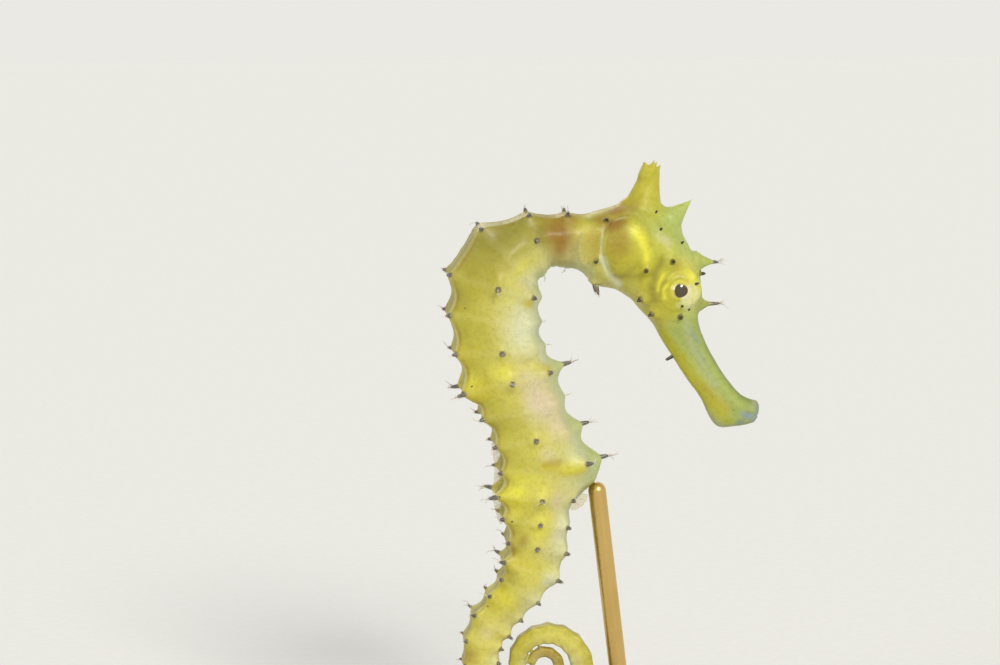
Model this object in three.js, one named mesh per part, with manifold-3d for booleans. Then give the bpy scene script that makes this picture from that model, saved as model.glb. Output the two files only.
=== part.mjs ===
// A thorny seahorse as a life-size display model, held over a round base by two brass rods.
// Millimetres, +Z up. +X is the way the animal faces and +Y is its left side.
// The origin is the middle of the base's underside.

import * as THREE from "three";
import { mergeVertices } from "three/addons/utils/BufferGeometryUtils.js";
import Module from "manifold-3d";

const wasm = await Module();
wasm.setup();

// ---- driving sizes -------------------------------------------------------------------------

const JOINT_GAP = 0.1; // the thin cut between neighbouring lengths of the body

// The centreline lies in the plane Y = 0 and runs from the lips to the tip of the tail. A place on
// it is its distance from the corner of the mouth's opening, just behind the lips. Each arc is a
// length and the angle it turns through, counter-clockwise seen from the animal's right.
const LIPS = { at: -0.5, x: 18.08, z: 39.35, heading: 165.2 };
const CENTRELINE_ARCS = [
  [3, -31], // jaws
  [13, -19], // snout
  [8, 62], // head
  [6, 10], // neck
  [3, 30], // shoulder
  [4, 50], // shoulder, at its sharpest
  [7, 21], // chest
  [4, 13], // back
  [4, -6], // back
  [8, -25], // belly
  [6, -8], // root of the tail
  [5, -28], // tail, bending backwards
  [3, 7], // tail, straightening before its coil
];
const COIL_TIGHTNESS = 0.14; // the coil's radius as a share of the length left to its pole
const COIL_POLE = 8; // how far past the tip of the tail that pole lies, along the centreline
const WALK_STEP = 0.1;
const TOLERANCE = 0.01; // two places closer than this are the same

// Bony rings: the first stands just behind the gill cover.
const FIRST_RING = 25.2;
const RING_PITCH = 3.14;
const TRUNK_RINGS = 11;
const TAIL_RINGS = 35;
const TAIL_RING_PITCH = 2.6;
const TAIL_RING_SHRINK = 0.968;
const TAIL_TIP_LENGTH = 1.6;
const RING_SINK = 0.07; // how much the surface sinks between two rings, as a share of its size
// On the trunk the back of a ring stands ahead of its belly, by this much for each millimetre.
const RING_LEAN = { amount: 0.17, begins: [30, 36], ends: [50, 56] };

// Size of the section at places along the centreline: the height over it, the depth under it and
// the half width.
const SECTIONS = [
  [-0.5, 0.9, 0.75, 0.7],
  [0.0, 1.3, 1.2, 0.9],
  [0.9, 1.2, 1.95, 1.05],
  [1.9, 1.08, 2.95, 1.15],
  [3.0, 1.0, 2.75, 1.2],
  [4.6, 0.95, 2.35, 1.2],
  [7.0, 1.02, 2.38, 1.25],
  [9.5, 1.2, 2.45, 1.45],
  [11.8, 1.65, 2.65, 1.85],
  [13.2, 2.7, 2.75, 2.25],
  [15.2, 3.35, 3.5, 2.7],
  [17.5, 3.75, 4.2, 3.0],
  [20.0, 4.3, 4.5, 3.15],
  [22.5, 4.3, 4.75, 3.15],
  [24.5, 3.15, 4.75, 3.0],
  [26.5, 2.5, 3.8, 2.75],
  [28.5, 2.35, 3.1, 2.65],
  [30.5, 2.45, 3.45, 2.85],
  [33.0, 3.1, 4.1, 3.4],
  [35.3, 4.35, 4.25, 3.9],
  [37.6, 5.05, 4.4, 4.2],
  [39.5, 4.95, 4.35, 4.3],
  [42.0, 4.95, 4.2, 4.3],
  [44.5, 4.75, 4.2, 4.3],
  [47.2, 4.85, 4.7, 4.3],
  [50.3, 4.45, 3.95, 4.2],
  [53.5, 4.25, 4.15, 4.1],
  [56.6, 4.25, 5.45, 4.0],
  [58.2, 4.4, 5.95, 3.8],
  [59.3, 4.5, 4.25, 3.6],
  [60.2, 4.4, 3.3, 3.4],
  [62.4, 3.85, 3.2, 3.1],
  [64.9, 2.95, 3.45, 2.8],
  [67.3, 2.75, 3.1, 2.6],
  [70.0, 2.35, 2.4, 2.35],
  [74.0, 2.1, 2.1, 2.1],
  [115.5, 0.45, 0.45, 0.42],
];

// Corners of a section as shares of its half width and its height: upper, side, lower and keel.
const TRUNK_CORNERS = [[0.62, 1], [1, 0.08], [0.7, -0.72], [0, -1]];
const TAIL_CORNERS = [[0.86, 0.97], [0.94, 0], [0.86, -0.97], [0, -0.97]];
const TAIL_SHAPE_STARTS = 58;
const TAIL_SHAPE_FULL = 66;
const HEAD_SHAPE_ENDS = 24;
const TRUNK_SHAPE_FULL = 31;
const CORNER_SOFTNESS = 0.25; // 0 is a sharp-cornered section and 1 an ellipse

// Spines of the rings, in rows along the corners of the sections. Some rings carry long ones and
// some are bare: the single spines of the neck stand in for those of its first ring.
const SPINE_ROWS = [
  { short: 0.85, long: 1.75, longOn: [8, 12, 15, 18], bare: [1] }, // back
  { short: 0.7, long: 1.4, longOn: [5, 8, 12], bare: [1, 2, 4, 6, 9, 11] }, // flank
  { short: 0.7, long: 1.4, longOn: [11, 15, 18], bare: [1, 2, 3, 4, 6, 7, 9, 10] }, // belly
  { short: 0.3, long: 1.65, longOn: [8, 10, 11], bare: [1, 4, 5] }, // keel
];
const SPINE_ROOT = 0.5; // radius
const SPINE_REACH = 0.55; // how far from its middle a spine lifts the surface
const SPINE_FLARE = 0.16; // how far a spine lifts the rim of its root, as a share of its length
const ROOT_SPREAD = 0.35; // the most that a root takes of the way to the next corner
const LAST_FLANK_RING = 14;
const LAST_SPINY_RING = 21;
const TAIL_SPINE_FADE = 0.93; // each tail ring's spines against those of the ring before
const THORN = { sides: 5, depth: 0.35, waist: 0.42 };

// Single spines: place along the centreline, angle from the middle of the back, length, root
// radius, and how far the tip leans towards the mouth for each millimetre it stands out.
const HEAD_SPINES = [
  { at: 12.9, angle: 0, length: 2.15, root: 0.6, lean: 0.42 }, // nose
  { at: 16.9, angle: 0, length: 2.35, root: 1.05, lean: 0.55 }, // forehead
  { at: 16.2, angle: 24, length: 0.9, root: 0.45, lean: 0.3 }, // in front of the brow
  { at: 18.2, angle: 70, length: 1.0, root: 0.6, lean: 0 }, // over the eye
  { at: 19.3, angle: 104, length: 0.9, root: 0.5, lean: 0 }, // edge of the gill cover
  { at: 13.0, angle: 92, length: 0.7, root: 0.4, lean: 0.2 }, // under the eye
  { at: 16.0, angle: 140, length: 1.0, root: 0.6, lean: 0 }, // cheek
  { at: 14.3, angle: 140, length: 0.9, root: 0.5, lean: 0 }, // jaw joint
];
const NECK_SPINES = [
  { at: 24.8, angle: 50, length: 0.6, root: 0.4, lean: 0 }, // behind the crown
  { at: 25.4, angle: 117, length: 0.7, root: 0.4, lean: 0 }, // under the pectoral fin
  { at: 24.9, angle: 161, length: 1.5, root: 0.45, lean: 0.3 }, // throat
];

const EYE = { at: 15.6, above: 0.82, radius: 1.65, side: 1.72, socketGap: 0.1 };
// Low domes on each side of the head: half sizes along the head, up and outwards.
const HEAD_DOMES = [
  { at: 15.6, above: 0.82, side: 2.05, half: [2.3, 2.3, 0.95] }, // orbit
  { at: 22.4, above: -0.2, side: 2.5, half: [2.4, 3.0, 1.35] }, // gill cover
];

// The coronet: a tapering stump at the back of a low mound, with five points around its top and
// one on its front edge. Its seat is a flat cut through the top of the head, and its points are
// measured from the middle of the seat, along the head (towards the mouth), up and to the side.
const CORONET = {
  at: 20.9,
  seat: 3.85,
  mound: { centre: [-0.4, -0.9, 0], half: [3.7, 2.2, 1.75] },
  stump: { root: [-1.85, 0.1, 0], top: [-3.2, 3.95, 0], radius: 1.95, topRadius: 0.95, sides: 8 },
  prongs: [
    { root: [-3.35, 2.9, 0.35], tip: [-4.15, 4.1, 0.75], radius: 0.75 },
    { root: [-3.1, 3.2, 0.4], tip: [-3.15, 4.75, 1.05], radius: 0.75 },
    { root: [-2.7, 3.1, 0], tip: [-2.5, 4.7, 0], radius: 0.8 },
    { root: [1.25, 0.6, 0], tip: [2.05, 3.4, 0], radius: 1.35 },
  ],
  squash: 0.8, // width of the stump as a share of its length
};

// Fins. Each is a fan of even thickness: its base runs along the body from one place to another.
const FIN_THICKNESS = 0.5;
const DORSAL_FIN = { from: 53.4, to: 62.6, height: 0.6, rake: 0.7, root: 0.5 };
const ANAL_FIN = { from: 59.5, to: 60.6, height: 1.1, rake: 0.5, root: 0.4 };
const PECTORAL_FIN = { at: 25.2, above: -0.5, base: 2.7, length: 2.5, spread: 1.3, flare: 24 };
const FAN_STEPS = 7;
const FAN_STEEPNESS = 0.12; // how soon a median fin reaches its height
const FAN_ROUNDING = 0.55; // how much shorter the outer rays of the pectoral fin are, squared

// Display stand.
const BASE = { radius: 23, thickness: 4, bevel: 0.7, sides: 32 };
const ROD = { radius: 0.9, sides: 10, tipSteps: 3, collar: 2.0, collarHeight: 1.4, bevel: 0.3 };
const BELLY_ROD = { foot: 5.2, tip: { x: 1.73, z: 32.67 } };
const TAIL_ROD = { foot: -3.3, tip: { x: -3.3, z: 7.37 } };

// ---- centreline ----------------------------------------------------------------------------

const rad = THREE.MathUtils.degToRad;
const lerp = THREE.MathUtils.lerp;

const rings = [];
for (let i = 0; i <= TRUNK_RINGS; i++) rings.push(FIRST_RING + i * RING_PITCH);
for (let i = 1; i < TAIL_RINGS; i++) {
  rings.push(rings.at(-1) + TAIL_RING_PITCH * TAIL_RING_SHRINK ** (i - 1));
}
const TIP = rings.at(-1) + TAIL_TIP_LENGTH;

// Degrees that the centreline turns for each millimetre at a place along it.
function turnRate(s) {
  let end = 0;
  for (const [length, turn] of CENTRELINE_ARCS) {
    end += length;
    if (s < end) return turn / length;
  }
  return THREE.MathUtils.radToDeg(1 / (COIL_TIGHTNESS * (TIP + COIL_POLE - s)));
}

const path = [{ x: LIPS.x, z: LIPS.z, heading: LIPS.heading }];
for (let s = LIPS.at; s < TIP + WALK_STEP; s += WALK_STEP) {
  const last = path.at(-1);
  const turn = turnRate(s + WALK_STEP / 2) * WALK_STEP;
  const middle = rad(last.heading + turn / 2);
  path.push({
    x: last.x + WALK_STEP * Math.cos(middle),
    z: last.z + WALK_STEP * Math.sin(middle),
    heading: last.heading + turn,
  });
}

// The local frame at a place along the centreline: forward runs to the tail, and up is the side
// of the animal's back.
function frameAt(s) {
  const steps = Math.max(0, (s - LIPS.at) / WALK_STEP);
  const i = Math.min(Math.floor(steps), path.length - 2);
  const [a, b] = [path[i], path[i + 1]];
  const t = steps - i;
  const heading = rad(lerp(a.heading, b.heading, t));
  return {
    origin: new THREE.Vector3(lerp(a.x, b.x, t), 0, lerp(a.z, b.z, t)),
    forward: new THREE.Vector3(Math.cos(heading), 0, Math.sin(heading)),
    up: new THREE.Vector3(Math.sin(heading), 0, -Math.cos(heading)),
  };
}

// A point from a place along the centreline, a distance to the animal's left and one towards
// its back.
function pointAt(s, left, above) {
  const { origin, up } = frameAt(s);
  return origin.clone().addScaledVector(up, above).add(new THREE.Vector3(0, left, 0));
}

// ---- sections ------------------------------------------------------------------------------

// A smooth value between the rows of SECTIONS: 1 is the height, 2 the depth, 3 the half width.
function sizeAt(s, column) {
  const last = SECTIONS.length - 1;
  const i = THREE.MathUtils.clamp(SECTIONS.findIndex((row) => row[0] > s) - 1, 0, last - 1);
  const after = s >= SECTIONS[last][0] ? last - 1 : i;
  const row = (k) => SECTIONS[THREE.MathUtils.clamp(k, 0, last)];
  const slope = (k) => (row(k + 1)[column] - row(k - 1)[column]) / (row(k + 1)[0] - row(k - 1)[0]);
  const [a, b] = [row(after), row(after + 1)];
  const span = b[0] - a[0];
  const t = THREE.MathUtils.clamp((s - a[0]) / span, 0, 1);
  const [t2, t3] = [t * t, t * t * t];
  return (
    (2 * t3 - 3 * t2 + 1) * a[column] +
    (t3 - 2 * t2 + t) * span * slope(after) +
    (3 * t2 - 2 * t3) * b[column] +
    (t3 - t2) * span * slope(after + 1)
  );
}

// The number of the ring at a place, with a fraction between two rings.
function ringNumber(s) {
  const next = rings.findIndex((ring) => ring > s);
  if (next === 0) return 1 - (rings[0] - s) / RING_PITCH;
  if (next < 0) return rings.length;
  return next + (s - rings[next - 1]) / (rings[next] - rings[next - 1]);
}

// 1 on a bony ring and 0 half way to the next.
function ringCrest(s) {
  return s < rings[0] ? 1 : 0.5 + 0.5 * Math.cos(2 * Math.PI * ringNumber(s));
}

// The corners of the section at a place, in millimetres to the side and up.
function cornersAt(s) {
  const tail = THREE.MathUtils.smoothstep(s, TAIL_SHAPE_STARTS, TAIL_SHAPE_FULL);
  const size = 1 - RING_SINK * (1 - ringCrest(s));
  const [height, depth, half] = [1, 2, 3].map((column) => sizeAt(s, column) * size);
  return TRUNK_CORNERS.map(([side, up], i) => {
    const share = lerp(up, TAIL_CORNERS[i][1], tail);
    return {
      side: lerp(side, TAIL_CORNERS[i][0], tail) * half,
      up: share * (share > 0 ? height : depth),
      height,
      depth,
      half,
    };
  });
}

// How far out the head's domes stand at a place.
function domeSide(s, up) {
  const reach = HEAD_DOMES.map(({ at, above, side, half }) => {
    const away = ((s - at) / half[0]) ** 2 + ((up - above) / half[1]) ** 2;
    return away < 1 ? side + half[2] * Math.sqrt(1 - away) : 0;
  });
  return Math.max(...reach);
}

// How far a spine lifts the surface, near a corner of the nearest ring.
function spineLift(s, corner, around) {
  const ring = Math.round(ringNumber(s));
  if (ring < 1 || ring > LAST_SPINY_RING) return 0;
  const { short, long, longOn, bare } = SPINE_ROWS[corner];
  if (bare.includes(ring) || (ring > LAST_FLANK_RING && corner === 1)) return 0;
  const away = Math.hypot(s - rings[ring - 1], around);
  if (away > SPINE_REACH) return 0;
  const fade = TAIL_SPINE_FADE ** Math.max(0, ring - TRUNK_RINGS - 1);
  const length = (longOn.includes(ring) ? long : short) * fade;
  return away < TOLERANCE ? length : length * SPINE_FLARE;
}

// The right half of the section's outline, from the middle of the back to the keel. The corners
// in spiny carry spines, so they have a point to either side of them at the spines' roots, and
// between is how many other points lie between two corners.
function halfOutline(s, { spiny, between }) {
  const corners = cornersAt(s);
  const { height, depth, half } = corners[0];
  const blend = THREE.MathUtils.smoothstep(s, HEAD_SHAPE_ENDS, TRUNK_SHAPE_FULL);
  const softness = lerp(1, CORNER_SOFTNESS, blend);
  const stops = [{ side: 0, up: corners[0].up }, ...corners];
  const points = [];
  const addPoint = (i, t, corner, around) => {
    const side = lerp(stops[i].side, stops[i + 1].side, t);
    const up = lerp(stops[i].up, stops[i + 1].up, t);
    const angle = Math.atan2(side / half, up / (up > 0 ? height : depth));
    const oval = [half * Math.sin(angle), Math.cos(angle) * (up > 0 ? height : depth)];
    const point = new THREE.Vector2(lerp(side, oval[0], softness), lerp(up, oval[1], softness));
    if (spiny.includes(corner)) {
      point.addScaledVector(point.clone().normalize(), spineLift(s, corner, around));
    }
    if (point.x > 0) point.x = Math.max(point.x, domeSide(s, point.y));
    points.push(point);
  };
  for (let i = 0; i + 1 < stops.length; i++) {
    const gap = Math.hypot(stops[i + 1].side - stops[i].side, stops[i + 1].up - stops[i].up);
    const near = Math.min(ROOT_SPREAD, SPINE_ROOT / gap);
    addPoint(i, 0, i - 1, 0);
    if (spiny.includes(i - 1)) addPoint(i, near, i - 1, SPINE_ROOT);
    for (let k = 1; k <= between; k++) addPoint(i, k / (between + 1), -1, 0);
    if (spiny.includes(i)) addPoint(i, 1 - near, i, SPINE_ROOT);
  }
  addPoint(stops.length - 2, 1, 3, 0);
  return points;
}

// The closed outline as points in space.
function outline(s, kind) {
  const { amount, begins, ends } = RING_LEAN;
  const { smoothstep } = THREE.MathUtils;
  const lean = amount * (smoothstep(s, ...begins) - smoothstep(s, ...ends));
  const { forward } = frameAt(s);
  const right = halfOutline(s, kind);
  const left = right.slice(1, -1).reverse();
  const place = (side, up) => pointAt(s, side, up).addScaledVector(forward, -lean * up);
  return [...right.map(({ x, y }) => place(-x, y)), ...left.map(({ x, y }) => place(x, y))];
}

// ---- solids --------------------------------------------------------------------------------

// A closed solid through a run of outlines with the same number of points, capped at both ends.
function loft(outlines) {
  const count = outlines[0].length;
  const middle = (points) =>
    points.reduce((sum, p) => sum.add(p), new THREE.Vector3()).divideScalar(points.length);
  const positions = [...outlines.flat(), middle(outlines[0]), middle(outlines.at(-1))];
  const [startCap, endCap] = [positions.length - 2, positions.length - 1];
  const lastRow = (outlines.length - 1) * count;
  const index = [];
  for (let k = 0; k < count; k++) {
    const next = (k + 1) % count;
    index.push(startCap, k, next, endCap, lastRow + next, lastRow + k);
    for (let row = 0; row < lastRow; row += count) {
      index.push(row + k, row + count + next, row + next);
      index.push(row + k, row + count + k, row + count + next);
    }
  }
  const geometry = new THREE.BufferGeometry().setFromPoints(positions);
  return geometry.setIndex(index);
}

const WELD = 1e-4; // vertices closer than this are joined
const BALL = { around: 12, over: 8 }; // faces of the round shapes

// A closed geometry as a solid. A geometry whose faces point inwards is turned the right way.
function solid(geometry) {
  const bare = new THREE.BufferGeometry();
  bare.setAttribute("position", geometry.getAttribute("position"));
  if (geometry.index) bare.setIndex(geometry.index);
  const merged = mergeVertices(bare, WELD);
  const vertProperties = new Float32Array(merged.getAttribute("position").array);
  const triVerts = new Uint32Array(merged.index.array);
  const made = new wasm.Manifold(new wasm.Mesh({ numProp: 3, vertProperties, triVerts }));
  if (made.volume() > 0) return made;
  triVerts.reverse();
  return new wasm.Manifold(new wasm.Mesh({ numProp: 3, vertProperties, triVerts }));
}

const join = (shapes) => shapes.reduce((sum, shape) => sum.add(shape));

// A solid of revolution whose axis runs from one point to another. The profile is pairs of
// radius and distance from the first point.
function turned(profile, from, to, sides) {
  const geometry = new THREE.LatheGeometry(
    profile.map(([radius, height]) => new THREE.Vector2(radius, height)),
    sides,
  );
  const direction = to.clone().sub(from).normalize();
  const turn = new THREE.Quaternion().setFromUnitVectors(new THREE.Vector3(0, 1, 0), direction);
  return geometry.applyQuaternion(turn).translate(from.x, from.y, from.z);
}

// A thorn with a flared root, set a little into the surface.
function thorn(root, tip, radius) {
  const length = root.distanceTo(tip);
  const profile = [
    [0, -THORN.depth],
    [radius, -THORN.depth],
    [radius * THORN.waist, length * THORN.waist],
    [0, length],
  ];
  return solid(turned(profile, root, tip, THORN.sides));
}

function ellipsoid(centre, half, tilt) {
  const geometry = new THREE.SphereGeometry(1, BALL.around, BALL.over);
  geometry.scale(half[0], half[2], half[1]).rotateY(tilt);
  return solid(geometry.translate(centre.x, centre.y, centre.z));
}

// The tilt about Y that turns +X onto the centreline's direction at a place.
function tiltAt(s) {
  const { forward } = frameAt(s);
  return -Math.atan2(forward.z, forward.x);
}

// ---- body ----------------------------------------------------------------------------------

const CLOSEST_SECTIONS = 0.15;

// Where the sections of a length of the body lie: a step apart on the head, or on each ring, half
// way to the next and, where the rings carry spines, to either side of the spines' roots.
function stationsBetween(start, end, { spiny, step }) {
  const places = [];
  for (let s = start; step && s < end; s += step) places.push(s);
  rings.forEach((ring, i) => {
    places.push(ring, lerp(ring, rings[i + 1] ?? TIP, 0.5));
    if (spiny.length) places.push(ring - SPINE_ROOT, ring + SPINE_ROOT);
  });
  const inner = places.filter((s) => s > start + CLOSEST_SECTIONS && s < end - CLOSEST_SECTIONS);
  return [start, ...inner.sort((a, b) => a - b), end];
}

function bodyLength(from, to, kind) {
  const start = from === LIPS.at ? from : from + JOINT_GAP / 2;
  const end = to === TIP ? TIP : to - JOINT_GAP / 2;
  return solid(loft(stationsBetween(start, end, kind).map((s) => outline(s, kind))));
}

function singleSpines(spines) {
  const shapes = [];
  for (const { at, angle, length, root, lean } of spines) {
    const [sine, cosine] = [Math.sin(rad(angle)), Math.cos(rad(angle))];
    const side = sizeAt(at, 3) * sine;
    const up = sizeAt(at, cosine > 0 ? 1 : 2) * cosine;
    for (const hand of angle === 0 ? [1] : [1, -1]) {
      const foot = pointAt(at, hand * side, up);
      const tip = pointAt(at, hand * (side + length * sine), up + length * cosine);
      tip.addScaledVector(frameAt(at).forward, -lean * length);
      shapes.push(thorn(foot, tip, root));
    }
  }
  return shapes;
}

// Kinds of body length.
const HEAD = { spiny: [], between: 3, step: 1.2 };
const SNOUT = { spiny: [], between: 1, step: 1.2 };
const SPINY_TRUNK = { spiny: [0, 1, 2, 3], between: 1 };
const TAIL_ROOT = { spiny: [0, 1, 2], between: 1 };
const SPINY_TAIL = { spiny: [0, 2], between: 0 };
const SLENDER_TAIL = { spiny: [], between: 0 };

// ---- head ----------------------------------------------------------------------------------

const HANDS = [
  ["left", 1],
  ["right", -1],
];

function eyeBall(hand, extra) {
  const centre = pointAt(EYE.at, hand * EYE.side, EYE.above);
  const geometry = new THREE.SphereGeometry(EYE.radius + extra, BALL.around, BALL.over);
  return solid(geometry.rotateX(Math.PI / 2).translate(centre.x, centre.y, centre.z));
}

function wholeHead() {
  let head = join([bodyLength(HEAD_STARTS, HEAD_ENDS, HEAD), ...singleSpines(HEAD_SPINES)]);
  for (const [, hand] of HANDS) head = head.subtract(eyeBall(hand, EYE.socketGap));
  return head;
}

const CUT_BLOCK = 16; // a block larger than what is cut with it

// The frame of the coronet's seat: along runs towards the mouth.
const seatFrame = frameAt(CORONET.at);
function seatPoint(along, up, left) {
  return seatFrame.origin
    .clone()
    .addScaledVector(seatFrame.forward, -along)
    .addScaledVector(seatFrame.up, CORONET.seat + up)
    .add(new THREE.Vector3(0, left, 0));
}

function coronetMound() {
  const { centre, half } = CORONET.mound;
  return ellipsoid(seatPoint(...centre), half, tiltAt(CORONET.at));
}

function coronetPoints() {
  const { stump, prongs, squash } = CORONET;
  const [foot, top] = [seatPoint(...stump.root), seatPoint(...stump.top)];
  const height = foot.distanceTo(top);
  const profile = [
    [0, -THORN.depth],
    [stump.radius, -THORN.depth],
    [stump.topRadius, height - stump.topRadius / 2],
    [0, height],
  ];
  const shapes = [solid(turned(profile, foot, top, stump.sides).scale(1, squash, 1))];
  for (const { root, tip, radius } of prongs) {
    for (const hand of tip[2] === 0 ? [1] : [1, -1]) {
      const start = seatPoint(root[0], root[1], hand * root[2]);
      shapes.push(thorn(start, seatPoint(tip[0], tip[1], hand * tip[2]), radius));
    }
  }
  return join(shapes);
}

// A large block whose lower face is the seat, raised by a little.
function aboveSeat(raise) {
  const geometry = new THREE.BoxGeometry(CUT_BLOCK, CUT_BLOCK, CUT_BLOCK);
  const centre = seatPoint(0, raise + CUT_BLOCK / 2, 0);
  return solid(geometry.rotateY(tiltAt(CORONET.at)).translate(centre.x, centre.y, centre.z));
}

// ---- fins ----------------------------------------------------------------------------------

// A median fin: a thin fan that stands on the back or the keel, and leans towards the tail.
function medianFin({ from, to, height, rake, root }, side) {
  const shape = [];
  for (let i = 0; i <= FAN_STEPS; i++) {
    const t = i / FAN_STEPS;
    const s = lerp(from, to, t);
    const column = side > 0 ? 1 : 2;
    const surface = sizeAt(s, column);
    const rise = height * Math.sqrt(Math.max(0, Math.sin(Math.PI * lerp(FAN_STEEPNESS, 1, t))));
    const foot = pointAt(s, 0, side * (surface - root));
    const tip = pointAt(s, 0, side * (surface + rise));
    tip.addScaledVector(frameAt(s).forward, rake * t);
    shape.push([foot, tip]);
  }
  return shape;
}

// Gives a strip of foot and tip points an even thickness to both sides.
function thicken(strip, offset) {
  const sections = strip.map(([foot, tip]) => [
    foot.clone().add(offset),
    tip.clone().add(offset),
    tip.clone().sub(offset),
    foot.clone().sub(offset),
  ]);
  return solid(loft(sections));
}

function pectoralFin(hand) {
  const { at, above, base, length, spread, flare } = PECTORAL_FIN;
  const { forward, up } = frameAt(at);
  const side = sizeAt(at, 3) + FIN_THICKNESS / 2;
  const middle = pointAt(at, hand * side, above);
  const reach = forward.clone().multiplyScalar(Math.cos(rad(flare)));
  reach.add(new THREE.Vector3(0, hand * Math.sin(rad(flare)), 0));
  const strip = [];
  for (let i = 0; i <= FAN_STEPS; i++) {
    const t = (i / FAN_STEPS) * 2 - 1;
    const foot = middle.clone().addScaledVector(up, (t * base) / 2);
    const tip = foot.clone().addScaledVector(reach, length * Math.sqrt(1 - FAN_ROUNDING * t * t));
    tip.addScaledVector(up, (t * spread) / 2);
    strip.push([foot, tip]);
  }
  const offset = new THREE.Vector3().crossVectors(reach, up).setLength(FIN_THICKNESS / 2);
  return thicken(strip, offset);
}

// ---- stand ---------------------------------------------------------------------------------

function standBase() {
  const { radius, thickness, bevel, sides } = BASE;
  const profile = [
    [0, 0],
    [radius - bevel, 0],
    [radius, bevel],
    [radius, thickness - bevel],
    [radius - bevel, thickness],
    [0, thickness],
  ];
  return turned(profile, new THREE.Vector3(), new THREE.Vector3(0, 0, 1), sides);
}

function standRod({ foot, tip }) {
  const from = new THREE.Vector3(foot, 0, BASE.thickness + JOINT_GAP);
  const to = new THREE.Vector3(tip.x, 0, tip.z);
  const length = from.distanceTo(to);
  const { radius, tipSteps, collar, collarHeight, bevel, sides } = ROD;
  const rod = [[0, 0], [radius, 0]];
  for (let i = 0; i < tipSteps; i++) {
    const turn = (Math.PI / 2) * (i / tipSteps);
    rod.push([radius * Math.cos(turn), length - radius * (1 - Math.sin(turn))]);
  }
  rod.push([0, length]);
  const ferrule = [
    [0, 0],
    [collar, 0],
    [collar, collarHeight - bevel],
    [collar - bevel, collarHeight],
    [0, collarHeight],
  ];
  const upright = from.clone().add(new THREE.Vector3(0, 0, 1));
  const below = new THREE.BoxGeometry(CUT_BLOCK, CUT_BLOCK, CUT_BLOCK);
  below.translate(foot, 0, from.z - CUT_BLOCK / 2);
  const shapes = [turned(rod, from, to, sides), turned(ferrule, from, upright, sides)];
  return join(shapes.map(solid)).subtract(solid(below));
}

// ---- assembly ------------------------------------------------------------------------------

const middleAfterRing = (number) => lerp(rings[number - 1], rings[number], 0.5);
const JAWS_END = 2.9;
const HEAD_STARTS = 12.1;
const HEAD_ENDS = 24.2;
const NECK_ENDS = middleAfterRing(3);
const CHEST_ENDS = middleAfterRing(6);
const BACK_ENDS = middleAfterRing(9);
const TRUNK_ENDS = middleAfterRing(11);
const TAIL_CUTS = [14, 17, 21, 25, 29, 33, 37, 41, 44].map(middleAfterRing);

const skin = (color) => ({ color, roughness: 0.55, metalness: 0 });
const MATERIALS = {
  snout: skin("#a3b468"),
  head: skin("#b9ae45"),
  coronet: skin("#b8b84c"),
  neck: skin("#a88a35"),
  trunk: skin("#c3bb62"),
  belly: skin("#d6d08a"),
  tail: skin("#d2c86c"),
  fin: skin("#d9d79a"),
  eye: { color: "#cdbf5c", roughness: 0.1, metalness: 0 },
  walnut: { color: "#5a3d29", roughness: 0.5, metalness: 0 },
  brass: { color: "#b08d4a", roughness: 0.3, metalness: 1 },
};

const model = new THREE.Group();

function addNode(name, shape, finish) {
  let geometry = shape;
  if (!shape.isBufferGeometry) {
    const mesh = shape.getMesh();
    geometry = new THREE.BufferGeometry();
    const positions = new Float32Array(mesh.numVert * 3);
    for (let i = 0; i < mesh.numVert; i++) {
      positions.set(mesh.vertProperties.subarray(i * mesh.numProp, i * mesh.numProp + 3), i * 3);
    }
    geometry.setAttribute("position", new THREE.BufferAttribute(positions, 3));
    geometry.setIndex(new THREE.BufferAttribute(new Uint32Array(mesh.triVerts), 1));
  }
  geometry.computeVertexNormals();
  const mesh = new THREE.Mesh(geometry, new THREE.MeshStandardMaterial(finish));
  mesh.name = name;
  model.add(mesh);
}

const lengths = [
  ["jaws", LIPS.at, JAWS_END, MATERIALS.snout, SNOUT],
  ["snout", JAWS_END, HEAD_STARTS, MATERIALS.snout, SNOUT],
  ["neck", HEAD_ENDS, NECK_ENDS, MATERIALS.neck, SPINY_TRUNK],
  ["trunk_upper", NECK_ENDS, CHEST_ENDS, MATERIALS.trunk, SPINY_TRUNK],
  ["trunk_middle", CHEST_ENDS, BACK_ENDS, MATERIALS.trunk, SPINY_TRUNK],
  ["trunk_lower", BACK_ENDS, TRUNK_ENDS, MATERIALS.belly, SPINY_TRUNK],
];
[TRUNK_ENDS, ...TAIL_CUTS].forEach((from, i) => {
  const slender = from >= middleAfterRing(LAST_SPINY_RING);
  const kind = slender ? SLENDER_TAIL : i === 0 ? TAIL_ROOT : SPINY_TAIL;
  lengths.push([`tail_${i + 1}`, from, TAIL_CUTS[i] ?? TIP, MATERIALS.tail, kind]);
});

// The fins stand in slots of the body, a joint gap wider than they are.
const finOffset = new THREE.Vector3(0, FIN_THICKNESS / 2, 0);
const slotOffset = new THREE.Vector3(0, FIN_THICKNESS / 2 + JOINT_GAP, 0);
const deeper = (fin) => ({
  ...fin,
  from: fin.from - JOINT_GAP,
  to: fin.to + JOINT_GAP,
  root: fin.root + JOINT_GAP,
});
const slots = join([
  thicken(medianFin(deeper(DORSAL_FIN), 1), slotOffset),
  thicken(medianFin(deeper(ANAL_FIN), -1), slotOffset),
]);

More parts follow.
